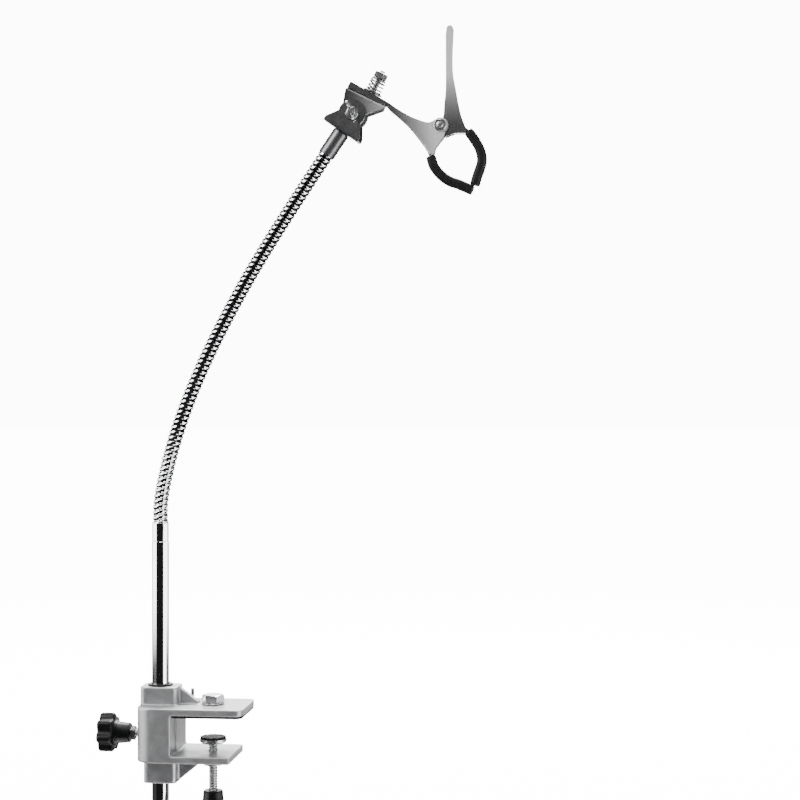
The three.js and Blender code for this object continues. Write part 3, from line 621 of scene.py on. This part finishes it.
def make_knob(node, bore, place):
    """A star knob: tapered hub below, lobed head above with a dished face and a small cap."""
    low, high = HUB_LENGTH, HUB_LENGTH + KNOB_THICKNESS
    edge = 3.2
    quarter = [math.pi / 2 * i / 6 for i in range(7)]
    levels = [(15, low + 0.2, 0), (9.5, low, 0.15), (edge + 1, low, 0.85)]
    levels += [(edge * (1 - math.sin(a)), low + edge * (1 - math.cos(a))) for a in quarter]
    levels += [(edge * (1 - math.cos(a)), high - edge + edge * math.sin(a)) for a in quarter]
    levels += [(edge + 2.5, high, 0.8), (8.5, high - 0.3, 0.3), (9.3, high - 1.6, 0.1),
               (11.5, high - 1.6, 0), (12.2, high - 0.9, 0), (17, high - 0.7, 0)]
    head = solid_from_rings(node, [knob_ring(*level) for level in levels])
    hub_profile = [(0, 0), (HUB_RADIUS - 2, 0), (HUB_RADIUS - 1, 1), (HUB_RADIUS - 0.4, 8),
                   (HUB_RADIUS + 0.2, HUB_LENGTH - 4), (HUB_RADIUS + 1.6, HUB_LENGTH - 1),
                   (HUB_RADIUS + 2.2, HUB_LENGTH + 1.5), (0, HUB_LENGTH + 1.5)]
    combine(head, [revolve("hub", hub_profile, 96)], "UNION")
    combine(head, [rod("bore", bore, -1, HUB_LENGTH, 48)])
    stand_in(head, node, place, angle=40)


def make_lock():
    """The screw that holds the pole, with its soft tip, jam nut and star knob."""
    hole = LOCK_SCREW_RADIUS + GAP
    pad_start = POLE_RADIUS + GAP
    pad_end = pad_start + LOCK_PAD_THICKNESS
    screw_end = LOCK_KNOB_START + HUB_LENGTH - GAP
    stand_in(rod("tip", LOCK_SCREW_RADIUS, pad_start, pad_end, 48, 0.5), "lock_tip_pad", LOCK)
    screw = threaded_rod("screw", LOCK_SCREW_RADIUS, 1.25, pad_end + GAP, screw_end)
    stand_in(screw, "lock_screw", LOCK)
    nut = hexagon("nut", 14, JAM_NUT_START, JAM_NUT_START + 5, hole, dome_bottom=True)
    stand_in(bevelled(nut, 0.25, 2), "lock_jam_nut", LOCK)
    make_knob("lock_knob", hole, LOCK @ at(0, 0, LOCK_KNOB_START))


def make_table_screw():
    """The screw that presses the foot up under the table, with the foot and the star knob."""
    hole = TABLE_SCREW_RADIUS + GAP
    disc_top, disc_bottom = FOOT_RUBBER_BOTTOM - GAP, FOOT_DISC_BOTTOM
    socket_top = disc_bottom + FOOT_SOCKET_DEPTH
    disc = revolve("disc", [(0, socket_top), (hole, socket_top), (hole, disc_bottom), (12.5, disc_bottom),
                            (15, -31.5), (15, disc_top - 0.5), (14.5, disc_top), (0, disc_top)], 96)
    stand_in(disc, "foot_disc", TABLE_SCREW)
    rubber = rod("rubber", 14.5, FOOT_RUBBER_BOTTOM, FOOT_TOP, 96, 0.6)
    stand_in(rubber, "foot_rubber", TABLE_SCREW)
    screw_bottom = TABLE_KNOB_TOP - HUB_LENGTH + GAP
    screw = threaded_rod("long_screw", TABLE_SCREW_RADIUS, TABLE_SCREW_PITCH, screw_bottom, socket_top - GAP)
    stand_in(screw, "clamp_screw", TABLE_SCREW)
    upside_down = at(0, 0, TABLE_KNOB_TOP) @ turned(180, "X")
    make_knob("clamp_knob", hole, TABLE_SCREW @ upside_down)


# ---------- pole ----------
def make_pole():
    bottom, flange, flange_top = UPPER_BUSH_BOTTOM + GAP, UPPER_BOSS_TOP + GAP, UPPER_BOSS_TOP + 2
    bush = [(BUSH_BORE, bottom), (BUSH_OUTER, bottom), (BUSH_OUTER, flange), (14, flange),
            (14, flange_top - 0.6), (13.4, flange_top), (10.4, flange_top), (BUSH_BORE, flange_top - 0.6)]
    stand_in(revolve("bush", bush, 96, ring=True), "pole_bush", POLE)
    bore = POLE_RADIUS - POLE_WALL
    tube = revolve("tube", ring_profile(bore, POLE_RADIUS, POLE_BOTTOM, POLE_TOP, 0.4), 128, ring=True)
    stand_in(tube, "pole_tube", POLE)
    plug = bore - GAP
    cap = [(0, POLE_BOTTOM - 5), (8.5, POLE_BOTTOM - 5), (10, POLE_BOTTOM - 4.2), (10.5, POLE_BOTTOM - 3),
           (10.5, POLE_BOTTOM - 0.8), (10, POLE_BOTTOM - GAP), (plug, POLE_BOTTOM - GAP),
           (plug, POLE_BOTTOM + 12), (0, POLE_BOTTOM + 12)]
    stand_in(revolve("cap", cap, 96), "pole_end_cap", POLE)
    socket, socket_bottom = NECK_RADIUS + GAP, NECK_START - SOCKET_DEPTH
    collar = [(0, POLE_TOP - 15), (plug, POLE_TOP - 15), (plug, POLE_TOP + GAP), (8.9, POLE_TOP + GAP),
              (9.3, POLE_TOP + 0.8), (9.3, NECK_START - 0.6), (9.1, NECK_START - 0.1), (9, NECK_START),
              (socket, NECK_START), (socket, socket_bottom), (0, socket_bottom)]
    stand_in(revolve("collar", collar, 96), "pole_ferrule", POLE)


# ---------- neck ----------
NECK_END = TILT_POINT - HEAD_UP * (BRACKET_HEIGHT + GAP + FERRULE_LENGTH) * MM
POINTS_PER_MM = 2
GROOVE_SHARPNESS = 2.4
# painted groove shade: none up to the first length along the hose, in mm, and full from the second
BRIGHT_UP_TO, DARKEST_FROM = 40, 120


def neck_joints():
    names = sorted((n for n in JOINTS if n.startswith("neck_")), key=lambda n: JOINTS[n]["pos_m"][2])
    return [JOINTS[name] for name in names]


def from_crest(turns):
    """0 on the crest of the winding and 1 in its groove."""
    return abs(2 * (turns % 1) - 1)


def straight(a, b):
    count = max(2, round((b - a).length / MM * POINTS_PER_MM))
    return [a.lerp(b, i / count) for i in range(count + 1)]


def bend(before, hinge, after):
    """A smooth curve from one link's middle to the next, touching both links' lines."""
    length = (hinge - before).length + (after - hinge).length
    count = max(2, round(length / MM * POINTS_PER_MM))
    shares = [i / count for i in range(count + 1)]
    return [before.lerp(hinge, t).lerp(hinge.lerp(after, t), t) for t in shares]


def neck_line(hinges):
    """The hose's centre line as one smooth curve, and where it breaks into a piece for each hinge."""
    start = POLE @ Vector((0, 0, NECK_START))
    knots = [start] + hinges + [NECK_END]
    middles = [(a + b) / 2 for a, b in zip(knots, knots[1:])]
    in_socket = (SOCKET_DEPTH - GAP) * MM
    line = straight(start - Z_AXIS * in_socket, middles[0])
    breaks = [0]
    for before, hinge, after in zip(middles, hinges, middles[1:]):
        line.pop()
        line += bend(before, hinge, after)
        breaks.append(len(line) - 1)
    line.pop()
    line += straight(middles[-1], NECK_END + HEAD_UP * in_socket)
    breaks[-1] = len(line) - 1
    return line, breaks


def neck_piece(name, line, lengths, first, last):
    """A stretch of the wound hose. Its grooves are painted dark as shade, except low down, where light gets
    in.
    """
    sides = 40
    rings, painted_groove_light = [], []
    for i in range(first, last + 1):
        outward = Y_AXIS.cross(direction_at(line, i)).normalized()
        # how strong the painted groove shade is at this length along the hose
        darkness = (lengths[i] - BRIGHT_UP_TO) / (DARKEST_FROM - BRIGHT_UP_TO)
        darkness = min(max(darkness, 0), 1)
        ring = []
        for k in range(sides):
            angle = TAU * k / sides
            depth = from_crest(lengths[i] / NECK_PITCH - k / sides)
            radius = NECK_RADIUS - NECK_GROOVE * depth ** GROOVE_SHARPNESS
            sideways = math.cos(angle) * outward + math.sin(angle) * Y_AXIS
            ring.append(line[i] + sideways * radius * MM)
            painted_groove_light.append(1 - depth * darkness)
        rings.append(ring)
    piece = solid_from_rings(name, rings)
    values = piece.data.attributes.new("painted_groove_light", "FLOAT", "POINT")
    values.data.foreach_set("value", painted_groove_light)
    return piece


def make_neck():
    joints = neck_joints()
    hinges = [Vector(joint["pos_m"]) for joint in joints]
    line, breaks = neck_line(hinges)
    lengths = [0.0]
    for a, b in zip(line, line[1:]):
        lengths.append(lengths[-1] + (b - a).length / MM)
    for number, (joint, hinge) in enumerate(zip(joints, hinges), 1):
        first, last = breaks[number - 1], breaks[number]
        piece = neck_piece(f"neck_hose_{number}", line, lengths, first, last)
        dress(piece, "chrome", angle=80, weighted=False, look="wound_chrome")
        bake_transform(piece)
        nodes = [f"neck_link_{number}"]
        if number == len(joints):
            nodes.append(f"neck_link_{number + 1}")
        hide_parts(*nodes)


# ---------- swivel head ----------
def bracket_outline(shift):
    right = [(BRACKET_HALF_LENGTH, 0), (BRACKET_HALF_LENGTH - 0.5, 5)]
    eye = arc(0, BRACKET_HEIGHT, BRACKET_EYE, -20, 200, 40)
    return [(shift + x, z) for x, z in right] + eye + [(shift - x, z) for x, z in reversed(right)]


def trough(name, half_width, bottom, top, radius, reach):
    """A long block with rounded lower corners, lying along x."""
    corner = arc(half_width - radius, bottom + radius, radius, -90, 0, 6)
    section = [(-y, z) for y, z in reversed(corner)] + corner + [(half_width, top), (-half_width, top)]
    rings = [[Vector((x, y, z)) for y, z in section] for x in (-reach, reach)]
    return solid_from_rings(name, rings)


def make_bracket(name, half_width, shift, hole_x, hole_radius):
    """A U of bent sheet standing on z = 0, its sides tapering to round eyes."""
    outer_radius, inner_radius = 3.2, 1.2
    side = prism(name, bracket_outline(shift), -half_width - 1, half_width + 1, across=True)
    combine(side, [trough("outer", half_width, 0, 60, outer_radius, 40)], "INTERSECT")
    inner = trough("inner", half_width - SHEET, SHEET, 70, inner_radius, 45)
    tilt_hole = moved(cross_rod("hole", BOLT_HOLE, -30, 30), at(0, 0, BRACKET_HEIGHT))
    base_hole = moved(rod("base_hole", hole_radius, -2, SHEET + 2), at(hole_x, 0, 0))
    combine(side, [inner, tilt_hole, base_hole])
    return bevelled(side, 0.3, 2, 50)


def make_wing_nut():
    wing = [(0, 0.3), (5, 0.3), (8, 1.6), (10.4, 3.3)]
    wing += arc(10, 7.3, 3, -60, 130, 10) + [(6.5, 7.6), (4, 6.1), (0, 6)]
    right = prism("right", wing, -1.25, 1.25, across=True)
    left = moved(prism("left", wing, -1.25, 1.25, across=True), turned(180, "Z"))
    hub = revolve("hub", [(0, 0.1), (5.4, 0.1), (5.5, 1), (4.8, 6.2), (4.2, 6.5), (0, 6.5)], 64)
    nut = softened(heap("wing_nut", [hub, left, right]), 0.3, 4)
    combine(nut, [rod("bore", BOLT_HOLE, -2, 9)])
    across = local_frame(TILT_POINT, HEAD_ALONG, -Y_AXIS)
    place = across @ at(0, 0, BRACKET_HALF_WIDTH)
    stand_in(nut, "wing_nut", place @ at(0, 0, 2.1) @ turned(WING_NUT_TURN, "Z"), angle=50)
    stand_in(washer("w", BOLT_HOLE, 7, GAP, 1.8), "wing_washer", place)


def make_ferrule(base):
    """The sleeve that the neck ends in, with a blind hole for the bracket's screw."""
    socket, hole, length, hole_bottom = NECK_RADIUS + GAP, 2.3, FERRULE_LENGTH, FERRULE_LENGTH - 12
    outside = [(FERRULE_RADIUS - 0.6, 0), (FERRULE_RADIUS - 0.1, 0.5), (FERRULE_RADIUS, 1.4),
               (FERRULE_RADIUS, length - 1.2), (FERRULE_RADIUS - 0.9, length)]
    profile = [(0, SOCKET_DEPTH), (socket, SOCKET_DEPTH), (socket, 0)] + outside
    profile += [(hole, length), (hole, hole_bottom), (0, hole_bottom)]
    place = base @ at(0, 0, -GAP - length)
    stand_in(revolve("ferrule", profile, 96), "head_ferrule", place)


def make_brackets(base):
    """The two brackets, with the round-headed screw that holds the lower one on the ferrule."""
    lower = make_bracket("lower", BRACKET_HALF_WIDTH, 0, 0, 2.5)
    stand_in(lower, "lower_bracket", base, angle=40)
    screw = [(0, -10), (2, -10), (2, SHEET + GAP), (5, SHEET + GAP), (5, SHEET + 1.4), (4.2, SHEET + 2.5),
             (2.5, SHEET + 3), (0, SHEET + 3)]
    stand_in(revolve("screw", screw, 48), "bracket_screw", base)
    upper_half_width = BRACKET_HALF_WIDTH - SHEET - GAP
    upper = make_bracket("upper", upper_half_width, -UPPER_SHIFT, -SWIVEL_ALONG, BOLT_HOLE)
    flip = at(0, 0, BRACKET_HEIGHT) @ turned(180, "Y")
    stand_in(upper, "upper_bracket", TILTED @ flip, angle=40, look="upper_bracket")


def make_tilt_bolt():
    """The bolt across both brackets: head at the back, plain shank, thread at the front."""
    outside = BRACKET_HALF_WIDTH
    bolt = hexagon("bolt", 10, outside + GAP, outside + GAP + 4)
    combine(bolt, [rod("plain", BOLT_RADIUS - 0.05, -outside + 3, outside + 1, 36)], "UNION")
    combine(bolt, [threaded_rod("thread", BOLT_RADIUS, 1, -outside - 11, -outside + 4)], "UNION")
    stand_in(moved(bolt, turned(-90, "X")), "tilt_bolt", HEAD, angle=30)


def make_head():
    base = HEAD @ at(0, 0, -BRACKET_HEIGHT)
    make_ferrule(base)
    make_brackets(base)
    make_tilt_bolt()
    make_wing_nut()


def make_coil_spring(name, radius, wire, low, high, turns):
    """A compression spring whose end coils lie flat."""
    steps = int(turns * 40)
    points = []
    closed, closed_pitch = 0.7, 0.95 * wire
    open_height = high - low - wire - 2 * closed * closed_pitch
    for i in range(steps + 1):
        turn = turns * i / steps
        closed_turns = min(turn, closed) + max(0, turn - (turns - closed))
        open_share = min(max((turn - closed) / (turns - 2 * closed), 0), 1)
        z = low + wire / 2 + open_height * open_share + closed_pitch * closed_turns
        angle = TAU * turn
        points.append(Vector((radius * math.cos(angle), radius * math.sin(angle), z)))
    return tube_along(name, points, wire / 2, 14)


def make_swivel():
    """The stack on the swivel bolt, from the clip's bar up: washer, spring, washer and nut."""
    washer_start, thickness, spring_height, nut_height = 7.4, 1.5, 13.4, 7
    lower = washer("w", BOLT_HOLE, 10.5, washer_start, washer_start + thickness, 0.35)
    stand_in(lower, "swivel_lower_washer", SWIVEL)
    start = washer_start + thickness + GAP
    end = start + spring_height
    spring = make_coil_spring("s", 8, 1.8, start, end, 3.6)
    stand_in(spring, "swivel_spring", SWIVEL, angle=60, weighted=False)
    upper = washer("w", BOLT_HOLE, 8, end + GAP, end + GAP + thickness, 0.35)
    stand_in(upper, "swivel_upper_washer", SWIVEL)
    nut_start = end + GAP + thickness + GAP
    nut_end = nut_start + nut_height
    nut = hexagon("nut", 13, nut_start, nut_end, BOLT_HOLE, dome_bottom=True)
    stand_in(bevelled(nut, 0.25, 2), "swivel_nut", SWIVEL)
    head_top = -SHEET - GAP
    head = hexagon("head", 10, head_top - 4, head_top, dome_top=False, dome_bottom=True)
    combine(head, [threaded_rod("shank", BOLT_RADIUS, 1, head_top - 1, nut_end + 2.4)], "UNION")
    stand_in(head, "swivel_bolt", SWIVEL, angle=30)


# ---------- clip ----------
FIXED_WEB = [(-57.5, -12.9), (-44.5, -15.4), (-29.7, -18.9), (-12.8, -25.5), (-1.7, -30.5)]
FIXED_RING_EDGE = [(7, -24), (8.2, -14.8), (9.2, -9.5)]
FIXED_TOP = [(-10.6, -1.3), (-14.1, -4.2), (-20.9, -5.9), (-28, -6.9), (-36, -7.7), (-49.3, -7.5)]
MOVING_WEB = [(-41.2, 99), (-28.7, 74.9), (-18.6, 58.1), (-7.7, 44.9), (11.3, 23.2), (26.3, 10.6)]
MOVING_RING_EDGE = [(23.5, 3.4), (18.8, 0.6), (14.4, -3.7), (10.6, -8)]
MOVING_INNER_EDGE = [(-2.6, 11.5), (-7.9, 22), (-16.5, 40.1), (-45, 89.3)]
FIXED_JAW = [(0.7, -28.8), (7.2, -34.6), (15.4, -42), (26.3, -46.4), (38.3, -47.8), (49.9, -45.8),
             (66, -44.2)]
MOVING_JAW = [(20.8, 9.9), (30.5, 9), (42.4, 3.7), (52.1, -2.8), (58.3, -10.7), (61.1, -19.8),
              (62.8, -29.5), (65.2, -38.2)]


def flat_line(points, steps):
    return [tuple(p) for p in smooth_line(points, steps)]


def fixed_outlines():
    """The fixed half's web line, and the rest of its outline from the jaw back to the handle's end."""
    web = [(BAR_END, BAR_END_BOTTOM)]
    web += flat_line([(BAR_STRAIGHT_TO, BAR_BOTTOM)] + FIXED_WEB + [(4.1, -33.7)], 6)
    rest = [(9.2, -30.8)]
    rest += flat_line(FIXED_RING_EDGE + [(7.9, -3.2)], 6)[:-1]
    rest += arc(0, 0, EAR_RADIUS, -21.6, 162, 20)
    rest += flat_line(FIXED_TOP + [(BAR_STRAIGHT_TO, BAR_TOP)], 6)
    rest += [((BAR_END + BAR_STRAIGHT_TO) / 2, BAR_TOP), (BAR_END, BAR_TOP)]
    return web, rest


def moving_outlines():
    web = flat_line(MOVING_WEB, 6)
    rest = [(28.3, 6)]
    rest += flat_line(MOVING_RING_EDGE + [(5.5, -6.5)], 5)[:-1]
    rest += arc(0, 0, EAR_RADIUS, -50.4, -255.6, 26)
    rest += flat_line(MOVING_INNER_EDGE, 8)
    rest += arc(-44.3, 97.1, 3.6, -154.8, -329.4, 12)
    return web, rest


def moved_in(points, distance):
    """A line moved to its left by a distance."""
    line = [Vector(p) for p in points]
    result = []
    for i, (x, z) in enumerate(points):
        along = direction_at(line, i)
        result.append((x - along.y * distance, z + along.x * distance))
    return result


def rounded_prism(name, web, rest, half_width, radius):
    """A prism across y whose edges along the web line are rounded."""
    bm = bmesh.new()
    outline = web + rest
    front = [bm.verts.new((x, -half_width, z)) for x, z in outline]
    back = [bm.verts.new((x, half_width, z)) for x, z in outline]
    count = len(outline)
    for i in range(count):
        j = (i + 1) % count
        bm.faces.new((front[i], front[j], back[j], back[i]))
    bm.faces.new(list(reversed(front)))
    bm.faces.new(back)
    bmesh.ops.recalc_face_normals(bm, faces=bm.faces)
    web_edges = [bm.edges.get((row[i], row[i + 1])) for row in (front, back) for i in range(len(web) - 1)]
    bmesh.ops.bevel(bm, geom=web_edges, offset=radius, offset_type="OFFSET", segments=5, profile=0.5,
                    affect="EDGES", clamp_overlap=True)
    return object_from(bm, name)


def flat_section(width, thickness, radius, steps):
    return rounded_rectangle(-width / 2, width / 2, thickness / 2, radius, steps=steps)


def route(points, first, last):
    """Evenly spread points along a jaw, from one share of its length to another."""
    line = [Vector((p[0], 0, p[1])) for p in smooth_line(points, 24)]
    lengths = [0.0]
    for a, b in zip(line, line[1:]):
        lengths.append(lengths[-1] + (b - a).length)
    result = []
    count = 48
    for i in range(count + 1):
        wanted = lengths[-1] * (first + (last - first) * i / count)
        k = max(1, next((n for n, length in enumerate(lengths) if length >= wanted), len(lengths) - 1))
        share = (wanted - lengths[k - 1]) / (lengths[k] - lengths[k - 1])
        result.append(line[k - 1].lerp(line[k], share))
    return result


def make_fixed_half():
    """A pressed channel with a rounded back, open on its inner side, with a flat bar for a handle."""
    web, rest = fixed_outlines()
    half = rounded_prism("fixed", web, rest, FIXED_HALF_WIDTH, 3.5)
    bar_inner_end = BAR_END + CLIP_SHEET
    inner_web = moved_in(web, CLIP_SHEET)
    inner_web = [(bar_inner_end, inner_web[0][1])] + inner_web[1:-1]
    inner_rest = [(2.3, -28.7), (29, -12), (29, 30), (bar_inner_end, 30)]
    space = rounded_prism("space", inner_web, inner_rest, FIXED_HALF_WIDTH - CLIP_SHEET, 2)
    finish_half(half, space, "clip_fixed_half", FIXED_JAW, swivel_hole=True)


def make_moving_half():
    """A pressed channel with a well rounded back, open on its inner side, with a tapering handle."""
    web, rest = moving_outlines()
    half = rounded_prism("moving", web, rest, MOVING_HALF_WIDTH, 5)
    inner_web = moved_in(web, -CLIP_SHEET)[:-2]
    inner_rest = [(20, 11.5), (14, -16), (-60, -16), (-60, inner_web[0][1])]
    space = rounded_prism("space", inner_web, inner_rest, MOVING_HALF_WIDTH - CLIP_SHEET, 3.5)
    finish_half(half, space, "clip_moving_half", MOVING_JAW)


def finish_half(half, space, node, jaw, swivel_hole=False):
    """Hollows a half out, then adds the tongue that the jaw's sleeve sits on and the holes."""
    combine(half, [space])
    tongue = sweep("tongue", flat_section(8, 4, 1, 3), route(jaw, 0, 0.9))
    combine(half, [tongue], "UNION")
    cutters = [cross_rod("rivet_hole", RIVET_HOLE, -20, 20)]
    if swivel_hole:
        cutters.append(moved(rod("swivel_hole", BOLT_HOLE, -10, 20), RIVET.inverted() @ SWIVEL))
    combine(half, cutters)
    bevelled(half, 0.3, 2, 55)
    stand_in(half, node, RIVET, angle=32, look=node.removeprefix("clip_"))


def make_sleeve(node, jaw, clear_of=None):
    """A rubber sleeve with a rolled mouth, a closed rounded tip and a slightly uneven surface."""
    path = route(jaw, SLEEVE_START, 1)
    count = len(path) - 1
    rings = []
    for i, point in enumerate(path):
        t = i / count
        outward = direction_at(path, i).cross(Y_AXIS)
        mouth = 0.9 + 0.1 * math.sqrt(min(1, t * 25))
        tip = 0.84 + 0.16 * math.sqrt(max(0.0, 1 - max(0, (t - 0.95) / 0.05) ** 2))
        waves = 1 - 0.012 * (1 + math.sin(31 * t + 1) * math.sin(53 * t))
        size = mouth * tip * waves
        section = flat_section(SLEEVE_WIDTH * size, SLEEVE_THICKNESS * size, 4.8 * size, 8)
        rings.append([point + Y_AXIS * a + outward * b for a, b in section])
    sleeve = solid_from_rings(node, rings)
    hollow = sweep("hollow", flat_section(8.6, 4.6, 1.2, 3), route(jaw, 0, 0.93))
    combine(sleeve, [hollow])
    if clear_of:
        section = flat_section(SLEEVE_WIDTH + 2 * GAP, SLEEVE_THICKNESS + 2 * GAP, 5, 8)
        combine(sleeve, [sweep("guard", section, route(clear_of, SLEEVE_START, 1))])
    stand_in(sleeve, node, RIVET, angle=50)


def make_rivet():
    head = FIXED_HALF_WIDTH + GAP
    profile = [(0, -head - 0.7), (2.2, -head - 0.7), (2.8, -head - 1.6), (3.6, -head - 1.6), (4.2, -head - 1),
               (5.6, -head - 1), (6.6, -head - 1.3), (7, -head - 0.8), (7, -head), (3, -head)]
    profile += [(r, -z) for r, z in reversed(profile)]
    rivet = moved(revolve("rivet", profile, 72), turned(-90, "X"))
    stand_in(rivet, "clip_rivet", RIVET, angle=50)


def torsion_points():
    """The torsion spring's centre line: a leg, the coil and the other leg."""
    radius, half_coil, turns, start = 5.2, 2.4, 2.27, math.radians(280.5)
    steps = 90
    coil = []
    for i in range(steps + 1):
        angle = start + TAU * turns * i / steps
        y = -half_coil + 2 * half_coil * i / steps
        coil.append(Vector((radius * math.cos(angle), y, radius * math.sin(angle))))
    fixed_leg = smooth_line([(-43, -half_coil, -11.5), (-22.5, -half_coil, -9.8), coil[0]], 10)
    moving_leg = smooth_line([coil[-1], (-1, half_coil, 19.6), (-6.8, half_coil, 38.5)], 10)
    return fixed_leg[:-1] + coil + moving_leg[1:]


def make_torsion_spring():
    """The spring as one wire through a leg, the coil and the other leg, placed at the rivet."""
    spring = tube_along("clip_spring_wire", torsion_points(), 0.7, 12)
    moved(spring, RIVET)
    dress(spring, SLOT_OF["clip_spring"], 60, False)
    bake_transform(spring)
    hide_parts("clip_spring")


def make_clip():
    make_fixed_half()
    make_moving_half()
    make_sleeve("fixed_jaw_sleeve", FIXED_JAW)
    make_sleeve("moving_jaw_sleeve", MOVING_JAW, clear_of=FIXED_JAW)
    make_rivet()
    make_torsion_spring()


# ---------- studio ----------
DIFFUSE_LIGHT, MIRRORED_LIGHT, BACKDROP_LIGHT, FLOOR_GLOW = 1.6, 6.0, 15.0, 12.0


def make_camera():
    """Level camera, a little to the right of the pole and turned left towards it."""
    camera = bpy.data.cameras.new("camera")
    camera.lens, camera.sensor_width, camera.clip_end = 80.4, 36, 50
    view = bpy.data.objects.new("camera", camera)
    bpy.context.scene.collection.objects.link(view)
    view.location = (0.429, -1.958, 0.349)
    view.rotation_euler = (math.pi / 2, 0, math.radians(6.39))
    bpy.context.scene.camera = view


def make_world():
    """A white studio with dark places in it.

    Mirrors see them as the black and white bands of polished chrome. Matt surfaces get even light.
    """
    world = bpy.data.worlds.new("studio")
    bpy.context.scene.world = world
    world.use_nodes = True
    tree = world.node_tree
    tree.nodes.clear()

    def node(kind, **values):
        made = tree.nodes.new("ShaderNode" + kind)
        for key, value in values.items():
            setattr(made, key, value)
        return made

    def maths(operation, *values):
        made = node("Math", operation=operation)
        for socket, value in zip(made.inputs, values):
            if isinstance(value, (int, float)):
                socket.default_value = value
            else:
                tree.links.new(value, socket)
        return made.outputs[0]

    def rising(value, start, end):
        """0 up to start and 1 from end on."""
        made = node("MapRange", interpolation_type="SMOOTHSTEP")
        set_inputs(made, From_Min=start, From_Max=end)
        tree.links.new(value, made.inputs["Value"])
        return made.outputs["Result"]

    def falling(value, start, end):
        return maths("SUBTRACT", 1, rising(value, start, end))

    def both(first, second):
        return maths("MULTIPLY", first, second)

    def squared(value, half):
        share = maths("DIVIDE", value, half)
        return both(share, share)

    def darken(light, where, level):
        """The light, brought to a level where the mask is 1."""
        return maths("ADD", both(light, maths("SUBTRACT", 1, where)), both(where, level))

    def glow(strength, color=None):
        made = set_inputs(node("Background"), Strength=strength)
        if color is not None:
            tree.links.new(color, made.inputs["Color"])
        return made.outputs[0]

    def choose(share, first, second):
        made = node("MixShader")
        for socket, value in zip(made.inputs, (share, first, second)):
            tree.links.new(value, socket)
        return made.outputs[0]

    direction = node("SeparateXYZ")
    tree.links.new(node("TexCoord").outputs["Generated"], direction.inputs[0])
    x, y, up = direction.outputs
    facing = math.radians(4)
    front = maths("ADD", both(x, math.sin(facing)), both(y, -math.cos(facing)))
    right = maths("ADD", both(x, math.cos(facing)), both(y, math.sin(facing)))
    half_width, half_height = math.sin(math.radians(50)), math.sin(math.radians(60))
    oval = maths("ADD", squared(right, half_width), squared(up, half_height))
    left_side, right_side = falling(right, -0.2, -0.1), rising(right, 0.1, 0.2)
    beside_and_behind = falling(front, 0.15, 0.28)
    table_edge = both(rising(up, -0.34, -0.28), falling(up, -0.148, -0.11))
    dark_places = [
        # the backdrop's frame
        (both(rising(front, -0.93, -0.88), falling(front, -0.52, -0.42)), 0.01),
        # the left side: low down, high up, and beside the backdrop
        (both(left_side, falling(up, -0.15, -0.1)), 0.008),
        (both(left_side, rising(up, 0.76, 0.8)), 0.01),
        (both(both(left_side, rising(up, 0.2, 0.3)), beside_and_behind), 0.01),
        # the right side: from eye level up, the floor, below the table, and the table's edge
        (both(right_side, rising(up, -0.06, -0.02)), 0.02),
        (both(right_side, falling(up, -0.8, -0.76)), 0.01),
        (both(both(right_side, falling(up, -0.3, -0.2)), beside_and_behind), 0.01),
        (both(both(right_side, table_edge), falling(front, -0.1, 0.05)), 0.03),
        # the room in front of the object
        (both(falling(oval, 0.9, 1.08), rising(front, 0.0, 0.1)), 0.002),
    ]
    seen = 1.0
    for where, level in dark_places:
        seen = darken(seen, where, level)
    rays = node("LightPath").outputs
    light = choose(rays["Is Glossy Ray"], glow(DIFFUSE_LIGHT), glow(MIRRORED_LIGHT, seen))
    light = choose(rays["Is Camera Ray"], light, glow(BACKDROP_LIGHT))
    tree.links.new(light, node("OutputWorld").inputs["Surface"])


def make_light(name, place, target, size, power):
    light = bpy.data.lights.new(name, "AREA")
    light.shape, light.energy = "RECTANGLE", power
    light.size, light.size_y = size
    lamp = bpy.data.objects.new(name, light)
    bpy.context.scene.collection.objects.link(lamp)
    lamp.location = place
    lamp.rotation_euler = (Vector(target) - Vector(place)).to_track_quat("-Z", "Y").to_euler()


def make_floor():
    """A pale floor just under the object. Mirrors don't show it, so the chrome keeps its bands."""
    low, _ = cad_box
    bm = bmesh.new()
    bmesh.ops.create_grid(bm, x_segments=2, y_segments=2, size=30)
    floor = object_from(bm, "floor")
    floor.location.z = low.z - 0.02
    s = Shader("floor_pale", (0.92, 0.92, 0.92), 0.0, 0.9, Specular_IOR_Level=0.1,
               Emission_Color=(1, 1, 1, 1), Emission_Strength=FLOOR_GLOW)
    floor.data.materials.append(s.material)
    floor.visible_glossy = floor.visible_diffuse = False


make_camera()
make_world()
make_floor()
make_light("key", (-1.6, -1.8, 2.2), (0.1, 0, 0.3), (1.4, 1.4), 45)
make_light("fill", (2.2, -1.4, 1.2), (0.1, 0, 0.3), (1.0, 2.0), 22)
make_light("back", (0.2, 1.7, 2.3), (0, 0, 0.1), (2.0, 1.2), 240)

make_casting()
make_clamp_details()
make_lock()
make_table_screw()
make_pole()
make_neck()
make_head()
make_swivel()
make_clip()
